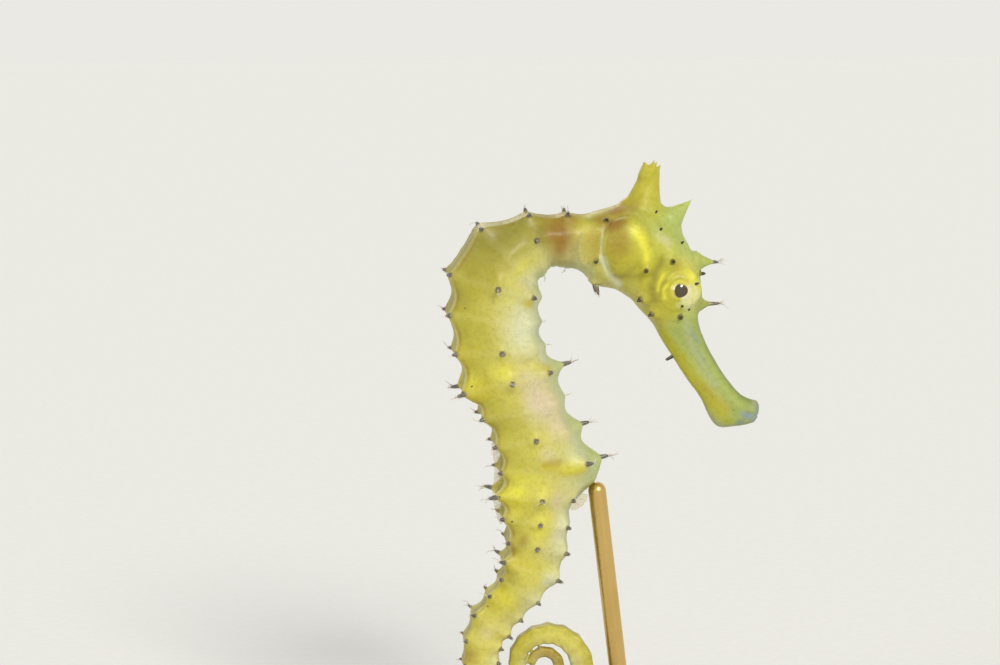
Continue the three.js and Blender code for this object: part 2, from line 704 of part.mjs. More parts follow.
const head = wholeHead().add(coronetMound());
const crown = head.add(coronetPoints()).intersect(aboveSeat(JOINT_GAP));
addNode("head", head.subtract(aboveSeat(0)), MATERIALS.head);
addNode("coronet", crown, MATERIALS.coronet);
for (const [name, from, to, finish, kind] of lengths) {
  const spines = name === "neck" ? singleSpines(NECK_SPINES) : [];
  addNode(name, join([bodyLength(from, to, kind), ...spines]).subtract(slots), finish);
}
for (const [side, hand] of HANDS) {
  addNode(`eye_${side}`, eyeBall(hand, 0), MATERIALS.eye);
  addNode(`pectoral_fin_${side}`, pectoralFin(hand), MATERIALS.fin);
}
addNode("dorsal_fin", thicken(medianFin(DORSAL_FIN, 1), finOffset), MATERIALS.fin);
addNode("anal_fin", thicken(medianFin(ANAL_FIN, -1), finOffset), MATERIALS.fin);
addNode("stand_base", standBase(), MATERIALS.walnut);
addNode("stand_rod_belly", standRod(BELLY_ROD), MATERIALS.brass);
addNode("stand_rod_tail", standRod(TAIL_ROD), MATERIALS.brass);

export default model;
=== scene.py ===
"""A life-size thorny seahorse, held over a round walnut base by two brass rods."""

import functools
import itertools
import math

import bpy
import numpy as np
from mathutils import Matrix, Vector, kdtree


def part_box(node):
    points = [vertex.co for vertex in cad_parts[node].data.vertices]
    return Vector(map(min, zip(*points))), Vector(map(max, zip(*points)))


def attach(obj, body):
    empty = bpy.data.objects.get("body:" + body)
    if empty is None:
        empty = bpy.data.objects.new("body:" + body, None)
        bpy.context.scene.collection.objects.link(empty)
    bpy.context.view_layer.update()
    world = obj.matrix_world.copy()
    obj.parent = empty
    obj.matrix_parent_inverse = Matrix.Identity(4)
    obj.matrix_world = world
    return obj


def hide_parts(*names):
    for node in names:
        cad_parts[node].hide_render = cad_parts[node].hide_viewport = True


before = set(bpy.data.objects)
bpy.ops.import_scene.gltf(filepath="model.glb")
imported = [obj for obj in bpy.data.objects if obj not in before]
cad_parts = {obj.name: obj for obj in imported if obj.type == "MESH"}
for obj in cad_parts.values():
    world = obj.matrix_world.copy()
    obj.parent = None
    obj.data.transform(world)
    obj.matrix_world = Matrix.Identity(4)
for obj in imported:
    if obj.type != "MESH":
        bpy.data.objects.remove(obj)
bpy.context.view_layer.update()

MM = 0.001

# ---- camera ----------------------------------------------------------------------------------

LENS, SENSOR = 105, 36
VIEW = {"target": (-8, 0, 48), "azimuth": -5, "elevation": 7.5, "distance": 291.7}


def add_camera():
    azimuth, elevation = math.radians(VIEW["azimuth"]), math.radians(VIEW["elevation"])
    level = math.cos(elevation)
    back = Vector((math.sin(azimuth) * level, -math.cos(azimuth) * level, math.sin(elevation)))
    camera = bpy.data.objects.new("camera", bpy.data.cameras.new("camera"))
    camera.data.lens, camera.data.sensor_width = LENS, SENSOR
    camera.data.clip_start, camera.data.clip_end = 0.01, 10
    camera.location = (Vector(VIEW["target"]) + back * VIEW["distance"]) * MM
    camera.rotation_mode = "QUATERNION"
    camera.rotation_quaternion = (-back).to_track_quat("-Z", "Y")
    bpy.context.collection.objects.link(camera)
    bpy.context.scene.camera = camera


add_camera()

# ---- sizes, in millimetres -------------------------------------------------------------------

# The centreline runs from the lips to the tip of the tail in the plane Y = 0. A place on it is
# its distance from just behind the lips. Each arc is a length and the angle it turns through.
LIPS = {"at": -0.5, "x": 18.08, "z": 39.35, "heading": 165.2}
CENTRELINE_ARCS = [
    (3, -31), (13, -19), (8, 62), (6, 10), (3, 30), (4, 50), (7, 21),
    (4, 13), (4, -6), (8, -25), (6, -8), (5, -28), (3, 7),
]  # fmt: skip
COIL_TIGHTNESS, COIL_POLE = 0.14, 8

FIRST_RING, RING_PITCH, TRUNK_RINGS = 25.2, 3.14, 11
TAIL_RINGS, TAIL_RING_PITCH, TAIL_RING_SHRINK, TAIL_TIP_LENGTH = 35, 2.6, 0.968, 1.6
RING_SINK = 0.075  # how much the surface sinks between two rings, as a share of its size
RING_LEAN = 0.17  # how far a trunk ring leans towards the head, for each mm of height

# Place along the centreline, height over it, depth under it and half width.
SECTIONS = np.array([
    (-0.5, 0.9, 0.75, 0.7), (0.0, 1.3, 1.2, 0.9), (0.9, 1.2, 1.95, 1.05), (1.9, 1.08, 2.95, 1.15),
    (3.0, 1.0, 2.75, 1.2), (4.6, 0.95, 2.35, 1.2), (7.0, 1.02, 2.38, 1.25), (9.5, 1.2, 2.45, 1.45),
    (11.8, 1.65, 2.65, 1.85), (13.2, 2.7, 2.75, 2.25), (15.2, 3.35, 3.5, 2.7), (17.5, 3.75, 4.2, 3.0),
    (20.0, 4.3, 4.5, 3.15), (22.5, 4.3, 4.75, 3.15), (24.5, 3.15, 4.75, 3.0), (26.5, 2.5, 3.8, 2.75),
    (28.5, 2.35, 3.1, 2.65), (30.5, 2.45, 3.45, 2.85), (33.0, 3.1, 4.1, 3.4), (35.3, 4.35, 4.25, 3.9),
    (37.6, 5.05, 4.4, 4.2), (39.5, 4.95, 4.35, 4.3), (42.0, 4.95, 4.2, 4.3), (44.5, 4.75, 4.2, 4.3),
    (47.2, 4.85, 4.7, 4.3), (50.3, 4.45, 3.95, 4.2), (53.5, 4.25, 4.15, 4.1), (56.6, 4.25, 5.45, 4.0),
    (58.2, 4.4, 5.95, 3.8), (59.3, 4.5, 4.25, 3.6), (60.2, 4.4, 3.3, 3.4), (62.4, 3.85, 3.2, 3.1),
    (64.9, 2.95, 3.45, 2.8), (67.3, 2.75, 3.1, 2.6), (70.0, 2.35, 2.4, 2.35), (74.0, 2.1, 2.1, 2.1),
    (115.5, 0.45, 0.45, 0.42),
])  # fmt: skip

# Corners of a section as shares of its half width and its height: back, flank, belly and keel.
TRUNK_CORNERS = np.array([(0.62, 1), (1, 0.08), (0.7, -0.72), (0, -1)])
TAIL_CORNERS = np.array([(0.86, 0.97), (0.94, 0), (0.86, -0.97), (0, -0.97)])

# Spines of the rings, one row to each corner. Some rings carry long ones, and some are bare.
BACK, FLANK, BELLY, KEEL = range(4)
SPINE_ROWS = [
    {"short": 0.85, "long": 1.75, "long_on": (8, 12, 15, 18), "bare": (1,), "last": 21},
    {"short": 0.7, "long": 1.4, "long_on": (5, 8, 12), "bare": (1, 2, 4, 6, 9, 11), "last": 14},
    {"short": 0.7, "long": 1.4, "long_on": (11, 15, 18), "bare": (1, 2, 3, 4, 6, 7, 9, 10), "last": 21},
    {"short": 0.3, "long": 1.65, "long_on": (8, 10, 11), "bare": (1, 4, 5), "last": 11},
]
TAIL_SPINE_FADE = 0.93

# ---- centreline and sections -----------------------------------------------------------------

rings = [FIRST_RING + i * RING_PITCH for i in range(TRUNK_RINGS + 1)]
for i in range(TAIL_RINGS - 1):
    rings.append(rings[-1] + TAIL_RING_PITCH * TAIL_RING_SHRINK**i)
rings = np.array(rings)
TIP = rings[-1] + TAIL_TIP_LENGTH


def walk_centreline(step=0.05):
    """Places along the centreline, with x, z and heading (in radians) at each."""
    places = np.arange(LIPS["at"], TIP + 1, step)
    middles = places[:-1] + step / 2
    ends = np.cumsum([length for length, _ in CENTRELINE_ARCS])
    arc = np.searchsorted(ends, middles, side="right")
    rates = np.array([math.radians(turn) / length for length, turn in CENTRELINE_ARCS] + [0])
    coil = 1 / (COIL_TIGHTNESS * (TIP + COIL_POLE - middles))
    turns = np.where(arc < len(ends), rates[arc], coil) * step
    heading = math.radians(LIPS["heading"]) + np.concatenate([[0], np.cumsum(turns)])
    along = heading[:-1] + turns / 2
    x = LIPS["x"] + np.concatenate([[0], np.cumsum(step * np.cos(along))])
    z = LIPS["z"] + np.concatenate([[0], np.cumsum(step * np.sin(along))])
    return places, x, z, heading


PLACES, PATH_X, PATH_Z, PATH_HEADING = walk_centreline()


def frame_at(s):
    """Origin, direction towards the tail and direction towards the back, at places s."""
    s = np.asarray(s, float)
    heading = np.interp(s, PLACES, PATH_HEADING)
    flat = np.zeros_like(s)
    origin = np.stack([np.interp(s, PLACES, PATH_X), flat, np.interp(s, PLACES, PATH_Z)], -1)
    forward = np.stack([np.cos(heading), flat, np.sin(heading)], -1)
    up = np.stack([np.sin(heading), flat, -np.cos(heading)], -1)
    return origin, forward, up


def ease(x, start, end):
    """0 up to start and 1 from end on, with a soft step between. The end may come first."""
    t = np.clip((np.asarray(x, float) - start) / (end - start), 0, 1)
    return t * t * (3 - 2 * t)


def lean_at(s):
    """How far the sections at places s lean ahead, for each millimetre of height."""
    return RING_LEAN * (ease(s, 30, 36) - ease(s, 50, 56))


def point_at(s, side, up):
    """Points at places s, a distance to the animal's left and one towards its back."""
    origin, forward, upward = frame_at(s)
    side, up = np.asarray(side, float)[..., None], np.asarray(up, float)[..., None]
    lean = lean_at(s)[..., None]
    return origin + upward * up - forward * lean * up + np.array([0, 1, 0]) * side


def section_size(s):
    """Height, depth and half width at places s, smooth between the rows of SECTIONS."""
    s = np.asarray(s, float)
    places = SECTIONS[:, 0]
    i = np.clip(np.searchsorted(places, s, side="right") - 1, 0, len(places) - 2)
    before, after = np.clip(i - 1, 0, None), np.clip(i + 2, None, len(places) - 1)
    span = places[i + 1] - places[i]
    t = np.clip((s - places[i]) / span, 0, 1)
    sizes = []
    for column in (1, 2, 3):
        value = SECTIONS[:, column]
        a, b = value[i], value[i + 1]
        slope_a = (b - value[before]) / (places[i + 1] - places[before]) * span
        slope_b = (value[after] - a) / (places[after] - places[i]) * span
        cubic = (2 * t**3 - 3 * t**2 + 1) * a + (t**3 - 2 * t**2 + t) * slope_a
        sizes.append(cubic + (3 * t**2 - 2 * t**3) * b + (t**3 - t**2) * slope_b)
    return sizes


def ring_number(s):
    """The number of the ring at places s, with a fraction between two rings."""
    return np.interp(s, rings, np.arange(1, len(rings) + 1))


def ring_crest(s):
    """1 on the edge of a bony ring and 0 half way to the next."""
    return np.where(np.asarray(s) < rings[0], 1, 0.5 + 0.5 * np.cos(2 * np.pi * ring_number(s)))


def corners_at(s):
    """The four corners of the sections at places s: [..., corner, (side, up)]."""
    height, depth, half = section_size(s)
    tail = ease(s, 58, 66)[..., None, None]
    share = TRUNK_CORNERS * (1 - tail) + TAIL_CORNERS * tail
    side = share[..., 0] * half[..., None]
    up = share[..., 1] * np.where(share[..., 1] > 0, height[..., None], depth[..., None])
    return np.stack([side, up], -1)


def spine_length(ring, row):
    """Length of the spine on a ring (counted from 1) in a row, or 0 where there is none."""
    sizes = SPINE_ROWS[row]
    if ring > sizes["last"] or ring in sizes["bare"]:
        return 0
    fade = TAIL_SPINE_FADE ** max(0, ring - TRUNK_RINGS - 1)
    return (sizes["long"] if ring in sizes["long_on"] else sizes["short"]) * fade


def cross(a, b):
    return a[..., 0] * b[..., 1] - a[..., 1] * b[..., 0]


def section_radius(s, angle):
    """Distance from the centreline to the outline at places s and angles from the back."""
    height, depth, half = section_size(s)
    corners = corners_at(s)
    top = np.stack([np.zeros_like(height), corners[..., 0, 1]], -1)
    stops = [top] + [corners[..., i, :] for i in range(4)]
    ray = np.stack([np.sin(angle), np.cos(angle)], -1)
    flat_sided = np.zeros(np.broadcast(s, angle).shape)
    for a, b in itertools.pairwise(stops):
        start, end = np.arctan2(a[..., 0], a[..., 1]), np.arctan2(b[..., 0], b[..., 1])
        here = (angle >= start - 1e-9) & (angle <= end + 1e-9)
        t = np.clip((angle - start) / np.maximum(end - start, 1e-6), 0, 1)
        reach = cross(a, b) / np.where(np.abs(cross(ray, b - a)) < 1e-9, 1, cross(ray, b - a))
        hollow = 0.035 * np.sin(np.pi * t) ** 2 * np.abs(reach)
        flat_sided = np.where(here, np.abs(reach) - hollow, flat_sided)
    upward = np.where(np.cos(angle) > 0, height, depth)
    oval = 1 / np.sqrt((np.sin(angle) / half) ** 2 + (np.cos(angle) / upward) ** 2)
    rounder = (0.25 + 0.22 * ease(s, 44, 36)) * ease(angle, 0.8, 1.4)
    softness = 1 - (0.78 - rounder) * ease(s, 25, 37)
    return flat_sided * (1 - softness) + oval * softness


# ---- relief of the body ----------------------------------------------------------------------


def spine_sites():
    """Place, angle, length, ring and row of each corner that may carry a spine, on one side."""
    sites = []
    for ring, row in itertools.product(range(1, len(rings) + 1), (BACK, FLANK, BELLY, KEEL)):
        length = spine_length(ring, row)
        if row == KEEL and ring > TRUNK_RINGS:
            continue
        side, up = corners_at(np.array(rings[ring - 1]))[row]
        sites.append((rings[ring - 1], math.atan2(side, up), length, ring, row))
    return sites


SITES = spine_sites()
EYE = {"at": 15.6, "above": 0.82, "radius": 1.65, "side": 1.72}
GILL = {"at": 22.4, "above": -0.2, "half": (2.4, 3.0)}
# Low domes on each side of the head: place, height, side of their rim, half sizes and how softly
# they rise from the head.
DOMES = [
    (EYE["at"], EYE["above"], 2.05, (2.3, 2.3, 0.95), 0.3),  # orbit
    (GILL["at"], GILL["above"], 2.5, (*GILL["half"], 1.35), 0.18),  # gill cover
]
HEAD_END = 27


def body_relief(s, angle, radius):
    """How far the body stands out from its plain sections: ring edges, mounds and knobs."""
    crest = ring_crest(s)
    flank = np.sin(np.clip((angle - 0.5) / 1.9, 0, 1) * np.pi)
    flat = 1 - (0.88 - 0.4 * ease(s, 65, 73)) * flank
    lift = -RING_SINK * radius * (1 - crest) * flat
    lift += 0.03 * np.clip(radius / 4, 0.3, 1) * ripple(crest - 1, 0.1) * ease(s, 28, 38) * (1 - 0.5 * flank)
    # A thin fold of skin joins the spines of the back.
    corner = corners_at(s)[..., 0, :]
    fold = ripple(radius * (angle - np.arctan2(corner[..., 0], corner[..., 1])), 0.17)
    lift += 0.16 * fold * ease(s, 30, 34) * ease(s, 70, 64)
    for place, middle, length, _, row in SITES:
        near = np.abs(s - place) < 2.2
        if not near.any():
            continue
        gap = np.hypot((s - place)[near], (radius * (angle - middle))[near])
        reach = 0.7 + 0.6 * length
        height = 0.48 * length if length else (0.1, 0.02, 0.08, 0.08)[row]
        lift[near] += height * np.clip(1 - gap / reach, 0, 1) ** 1.7
    return lift


def ripple(x, width):
    """A soft bump: 1 where x is 0, falling to a third at the width."""
    return np.exp(-((x / width) ** 2))


def grain(points, size, seed=0):
    """Smooth noise from -1 to 1 with lumps about size across."""
    scaled = points / size + 31.7 * seed
    cell = np.floor(scaled)
    t = scaled - cell
    t = t * t * (3 - 2 * t)
    total = np.zeros(points.shape[:-1])
    for corner in itertools.product((0, 1), repeat=3):
        mixed = np.sin((cell + corner) @ np.array([12.9898, 78.233, 37.719])) * 43758.5453
        weight = np.prod(np.where(corner, t, 1 - t), axis=-1)
        total += ((mixed - np.floor(mixed)) * 2 - 1) * weight
    return total


def mound(s, up, at, above, half_along, half_up, power=1.0):
    """1 in the middle of an oval patch of the head's side and 0 outside it."""
    away = np.hypot((s - at) / half_along, (up - above) / half_up)
    return np.clip(1 - away**2, 0, 1) ** power


def head_side(s, side, up):
    """How far to the side the head's surface lies, with its domes and hollows."""
    reach = np.abs(side)
    inner = np.clip(reach / np.maximum(section_size(s)[2], 0.1), 0, 1) ** 0.7
    reach = reach + inner * (
        0.3 * mound(s, up, 16.3, -3.3, 1.0, 0.9)  # cheek
        + 0.3 * mound(s, up, 18.2, 2.3, 1.4, 1.1, 1.2)  # brow
        - 0.2 * mound(s, up, 18.6, -1.2, 1.2, 2.4)  # behind the eye
        - 0.12 * mound(s, up, 20.2, 2.9, 1.6, 0.9)  # under the coronet
        - 0.14 * mound(s, up, 25.0, -0.6, 0.8, 3.2, 0.8)  # behind the gill cover
        - 0.06 * mound(s, up, 7.5, -0.35, 5.5, 0.45)  # groove along the snout
    )
    for at, above, rim, half, softness in DOMES:
        level = 1 - ((s - at) / half[0]) ** 2 - ((up - above) / half[1]) ** 2
        raised = np.where(level > 0, rim + half[2] * np.sqrt(np.clip(level, 0, 1)), 0)
        blend = np.clip(1 - np.abs(raised - reach) / softness, 0, 1) ** 2 * softness / 4
        reach = np.maximum(reach, raised) + np.where(reach > 0.5, blend, 0)
    return reach


def surface(s, angle):
    """Points of the body's surface at places s and angles, from -pi to pi, where 0 is the back."""
    s, angle = np.broadcast_arrays(np.asarray(s, float), np.asarray(angle, float))
    fold = np.abs(angle)
    radius = section_radius(s, fold)
    radius = radius + body_relief(s, fold, radius)
    side, up = radius * np.sin(angle), radius * np.cos(angle)
    side = np.sign(side) * np.where(s < HEAD_END, head_side(s, side, up), np.abs(side))
    return point_at(s, side, up)


# ---- meshes ----------------------------------------------------------------------------------


def make_mesh(name, points, faces):
    mesh = bpy.data.meshes.new(name)
    mesh.from_pydata(np.asarray(points).tolist(), [], [list(face) for face in faces])
    mesh.validate()
    return mesh


def tube_faces(rows, columns):
    """Quads of a closed tube of rows of points, and a fan over each end."""
    grid = np.arange(rows * columns).reshape(rows, columns)
    turned = np.roll(grid, -1, axis=1)
    quads = np.stack([grid[:-1], turned[:-1], turned[1:], grid[1:]], -1).reshape(-1, 4)
    first, last = grid[0][::-1], grid[-1]
    return [*quads.tolist(), first.tolist(), last.tolist()]


def turned_points(profile, start, end, sides):
    """Rows of points of a turned shape. The profile is pairs of radius and height over start."""
    start, end = Vector(start), Vector(end)
    axis = (end - start).normalized()
    across = axis.orthogonal().normalized()
    beside = axis.cross(across)
    points = []
    for radius, height in profile:
        for k in range(sides):
            turn = 2 * math.pi * k / sides
            spoke = across * math.cos(turn) + beside * math.sin(turn)
            points.append(start + axis * height + spoke * radius)
    return points


def turned_mesh(name, profile, start, end, sides):
    points = turned_points(profile, start, end, sides)
    return make_mesh(name, points, tube_faces(len(profile), sides))


def add_object(name, mesh, *materials):
    made = bpy.data.objects.new(name, mesh)
    for material in materials:
        mesh.materials.append(material)
    bpy.context.collection.objects.link(made)
    return made


def evaluated_mesh(source):
    """The object's mesh as its modifiers leave it."""
    ready = source.evaluated_get(bpy.context.evaluated_depsgraph_get())
    return bpy.data.meshes.new_from_object(ready)


# ---- head spines and coronet -----------------------------------------------------------------

# Place along the centreline, angle from the middle of the back, length, root radius, how far the
# tip leans towards the mouth for each millimetre of length, and how much of it is flesh.
HEAD_SPINES = [
    (12.9, 0, 2.15, 0.7, 0.42, 0.5),  # nose
    (16.9, 0, 2.35, 1.15, 0.55, 0.8),  # forehead
    (16.2, 24, 0.9, 0.6, 0.3, 0.45),  # in front of the brow
    (18.2, 70, 1.0, 0.8, 0.0, 0.45),  # over the eye
    (19.3, 104, 0.9, 0.6, 0.0, 0.4),  # edge of the gill cover
    (13.0, 92, 0.7, 0.45, 0.2, 0.4),  # under the eye
    (16.0, 140, 1.0, 0.8, 0.0, 0.45),  # cheek
    (14.3, 140, 0.9, 0.7, 0.0, 0.45),  # jaw joint
    (24.8, 50, 0.6, 0.5, 0.0, 0.4),  # behind the crown
    (25.4, 117, 0.7, 0.55, 0.0, 0.4),  # under the pectoral fin
    (24.9, 161, 1.5, 0.6, 0.3, 0.25),  # throat
]

# The coronet sits on a mound and is a squashed stump with prongs. Points are measured from its
# seat: towards the mouth, up and to the left. A prong is its root, its tip and its root's radius.
CORONET = {
    "at": 20.9,
    "seat": 3.85,
    "mound": ((-0.4, -0.9), (3.7, 2.2, 1.75)),
    "stump": ((-1.85, 0.1), (-3.2, 3.95), 1.95, 0.95),
    "prongs": [
        ((-3.35, 2.9, 0.35), (-4.15, 4.1, 0.75), 0.75),
        ((-3.1, 3.2, 0.4), (-3.15, 4.75, 1.05), 0.75),
        ((-2.7, 3.1, 0), (-2.5, 4.7, 0), 0.8),
        ((1.25, 0.6, 0), (2.05, 3.4, 0), 1.35),
    ],
    "squash": 0.8,
}


def seat_point(along, up, left=0):
    """A point measured from the coronet's seat: towards the mouth, up and to the left."""
    origin, forward, upward = frame_at(CORONET["at"])
    return Vector(origin - forward * along + upward * (CORONET["seat"] + up)) + Vector((0, left, 0))


def flared(radius, length, tip=0.06, sunk=0.6, steps=12, flare=1.7):
    """The profile of a thorn whose root flares out."""
    rows = [(0.001, -sunk), (radius * 0.9, -sunk)]
    for i in range(steps + 1):
        t = i / steps
        rows.append((tip + (radius - tip) * (1 - t) ** flare, t * length))
    return [*rows, (0.001, length + tip)]


def coronet_meshes():
    _, forward, upward = frame_at(CORONET["at"])
    (along, up), (half_along, half_up, half_side) = CORONET["mound"]
    centre = np.array(seat_point(along, up))
    rows, sides, stump_sides, stump_steps, prong_sides = 48, 64, 40, 10, 24
    polar, around = np.meshgrid(
        np.linspace(0.01, math.pi - 0.01, rows),
        np.linspace(0, 2 * math.pi, sides, endpoint=False),
        indexing="ij",
    )
    points = (
        centre
        + (np.cos(polar) * half_along)[..., None] * forward
        + (np.sin(polar) * np.cos(around) * half_up)[..., None] * upward
        + (np.sin(polar) * np.sin(around) * half_side)[..., None] * np.array([0, 1, 0])
    )
    meshes = [make_mesh("mound", points.reshape(-1, 3), tube_faces(rows, sides))]
    root, top, radius, top_radius = CORONET["stump"]
    start, end = seat_point(*root), seat_point(*top)
    length = (end - start).length
    profile = [(0.001, -0.8), (radius, -0.8)]
    for i in range(stump_steps + 1):
        t = i / stump_steps
        waist = top_radius + (radius - top_radius) * (1 - t) ** 1.25
        profile.append((waist, t * (length - top_radius * 0.5)))
    profile.append((0.001, length - top_radius * 0.15))
    stump = turned_points(profile, start, end, stump_sides)
    for point in stump:
        point.y *= CORONET["squash"]
    meshes.append(make_mesh("stump", stump, tube_faces(len(profile), stump_sides)))
    for root, tip, radius in CORONET["prongs"]:
        for hand in (1,) if tip[2] == 0 else (1, -1):
            start = seat_point(root[0], root[1], hand * root[2])
            end = seat_point(tip[0], tip[1], hand * tip[2])
            profile = flared(radius, (end - start).length, tip=0.1, flare=1.3)
            meshes.append(turned_mesh("prong", profile, start, end, prong_sides))
    return meshes


def ring_spines():
    """Foot, tip, length, ring and row of every spine of the rings, on both sides."""
    random = np.random.default_rng(4)
    spines = []
    for place, angle, length, ring, row in SITES:
        if not length:
            continue
        radius = float(section_radius(np.array(place), np.array(angle)))
        for hand in (1,) if row == KEEL else (1, -1):
            sine, cosine = hand * math.sin(angle), math.cos(angle)
            foot = point_at(place, radius * sine, radius * cosine)
            tip = point_at(place, (radius + length) * sine, (radius + length) * cosine)
            tip = tip + random.normal(0, 0.05, 3) * length
            spines.append((Vector(foot), Vector(tip), length, ring, row))
    return spines


def single_spines():
    """Foot, tip, root radius and flesh share of each spine that stands alone."""
    spines = []
    for at, degrees, length, root, lean, flesh in HEAD_SPINES:
        height, depth, half = section_size(at)
        sine, cosine = math.sin(math.radians(degrees)), math.cos(math.radians(degrees))
        upward = height if cosine > 0 else depth
        for hand in (1,) if degrees == 0 else (1, -1):
            foot = point_at(at, hand * half * sine, upward * cosine)
            tip = point_at(at, hand * (half + length) * sine, (upward + length) * cosine)
            tip = tip - frame_at(at)[1] * lean * length
            spines.append((Vector(foot), Vector(tip), root, flesh))
    return spines


def thorn_meshes():
    meshes = []
    for foot, tip, root, flesh in single_spines():
        profile = flared(root, (tip - foot).length * flesh, tip=0.17)
        meshes.append(turned_mesh("thorn", profile, foot, tip, 20))
    return meshes


# ---- skin ------------------------------------------------------------------------------------

VOXEL = 0.173  # fine enough for the spines, and keeps the skin under 200,000 triangles
LOFT_STEP, LOFT_SIDES = 0.12, 144
# Rows that round the lips and sink into the mouth: place, and size as a share of the section's.
MOUTH_ROWS = [(0.9, 0.1), (0.4, 0.28), (-0.1, 0.36), (-0.42, 0.5), (-0.55, 0.72), (-0.52, 0.9)]


def body_loft():
    """The whole body as one fine closed tube, and the place of each of its points."""
    angle = np.linspace(-math.pi, math.pi, LOFT_SIDES, endpoint=False)
    places = np.arange(LIPS["at"] + 0.15, TIP, LOFT_STEP)
    rows = surface(places[:, None], angle[None, :])
    lips = surface(np.full((1, 1), -0.35), angle[None, :])[0]
    mouth = []
    for place, share in MOUTH_ROWS:
        centre = point_at(place, 0, -0.1 if share < 0.6 else 0)
        middle = lips.mean(axis=0)
        mouth.append(centre + (lips - middle) * share)
    end = surface(np.full((1, 1), TIP - 0.05), angle[None, :])[0]
    tip = [
        point_at(TIP + reach, 0, 0) + (end - end.mean(axis=0)) * share
        for reach, share in [(0.1, 0.85), (0.3, 0.55), (0.4, 0.2)]
    ]
    points = np.concatenate([np.array(mouth), rows, np.array(tip)])
    return points, np.concatenate([[row[0] for row in MOUTH_ROWS], places, [TIP] * 3])


def merged_skin():
    """The loft, coronet and thorns merged into one closed mesh of even faces, in millimetres."""
    loft, places = body_loft()
    body = make_mesh("body", loft.reshape(-1, 3), tube_faces(*loft.shape[:2]))
    parts = [body, *coronet_meshes(), *thorn_meshes()]
    points, faces, offset = [], [], 0
    for part in parts:
        coordinates = np.empty(len(part.vertices) * 3)
        part.vertices.foreach_get("co", coordinates)
        points.append(coordinates.reshape(-1, 3))
        faces += [[v + offset for v in face.vertices] for face in part.polygons]
        offset += len(part.vertices)
    whole = add_object("rough", make_mesh("rough", np.concatenate(points), faces))
    remesh = whole.modifiers.new("remesh", "REMESH")
    remesh.mode, remesh.voxel_size, remesh.use_smooth_shade = "VOXEL", VOXEL, True
    mesh = evaluated_mesh(whole)
    bpy.data.objects.remove(whole)
    return mesh, loft, places


def mesh_points(mesh):
    coordinates = np.empty(len(mesh.vertices) * 3)
    mesh.vertices.foreach_get("co", coordinates)
    return coordinates.reshape(-1, 3)


def mesh_normals(mesh):
    normals = np.empty(len(mesh.vertices) * 3)
    mesh.vertices.foreach_get("normal", normals)
    return normals.reshape(-1, 3)


def set_points(mesh, points):
    mesh.vertices.foreach_set("co", points.reshape(-1))
    mesh.update()


def smoothed(mesh, points, rounds, strength):
    """Points drawn towards the middle of their neighbours. Strength is one number or one each."""
    edges = np.empty(len(mesh.edges) * 2, int)
    mesh.edges.foreach_get("vertices", edges)
    a, b = edges.reshape(-1, 2).T
    count = np.bincount(np.concatenate([a, b]), minlength=len(points))[:, None]
    strength = np.broadcast_to(strength, len(points))[:, None]
    for _ in range(rounds):
        total = np.zeros_like(points)
        for column in range(3):
            total[:, column] = np.bincount(a, points[b, column], len(points))
            total[:, column] += np.bincount(b, points[a, column], len(points))
        points = points + (total / np.maximum(count, 1) - points) * strength
    return points


def body_places(points, loft, places):
    """Place, side and up of each point: the nearest point of the loft, then a few closer steps."""
    columns = loft[::2, ::6]
    station = np.repeat(places[::2], columns.shape[1])
    tree = kdtree.KDTree(len(station))
    for i, point in enumerate(columns.reshape(-1, 3)):
        tree.insert(point, i)
    tree.balance()
    s = station[[tree.find(point)[1] for point in points]]
    for _ in range(4):
        origin, forward, upward = frame_at(s)
        away = points - origin
        up = np.einsum("ij,ij->i", away, upward)
        miss = np.einsum("ij,ij->i", away, forward) + lean_at(s) * up
        turn = np.interp(s, PLACES[:-1], np.diff(PATH_HEADING) / np.diff(PLACES))
        s = np.clip(s + np.clip(miss / np.maximum(1 + turn * up, 0.35), -0.25, 0.25), LIPS["at"], TIP)
    return s, points[:, 1], up


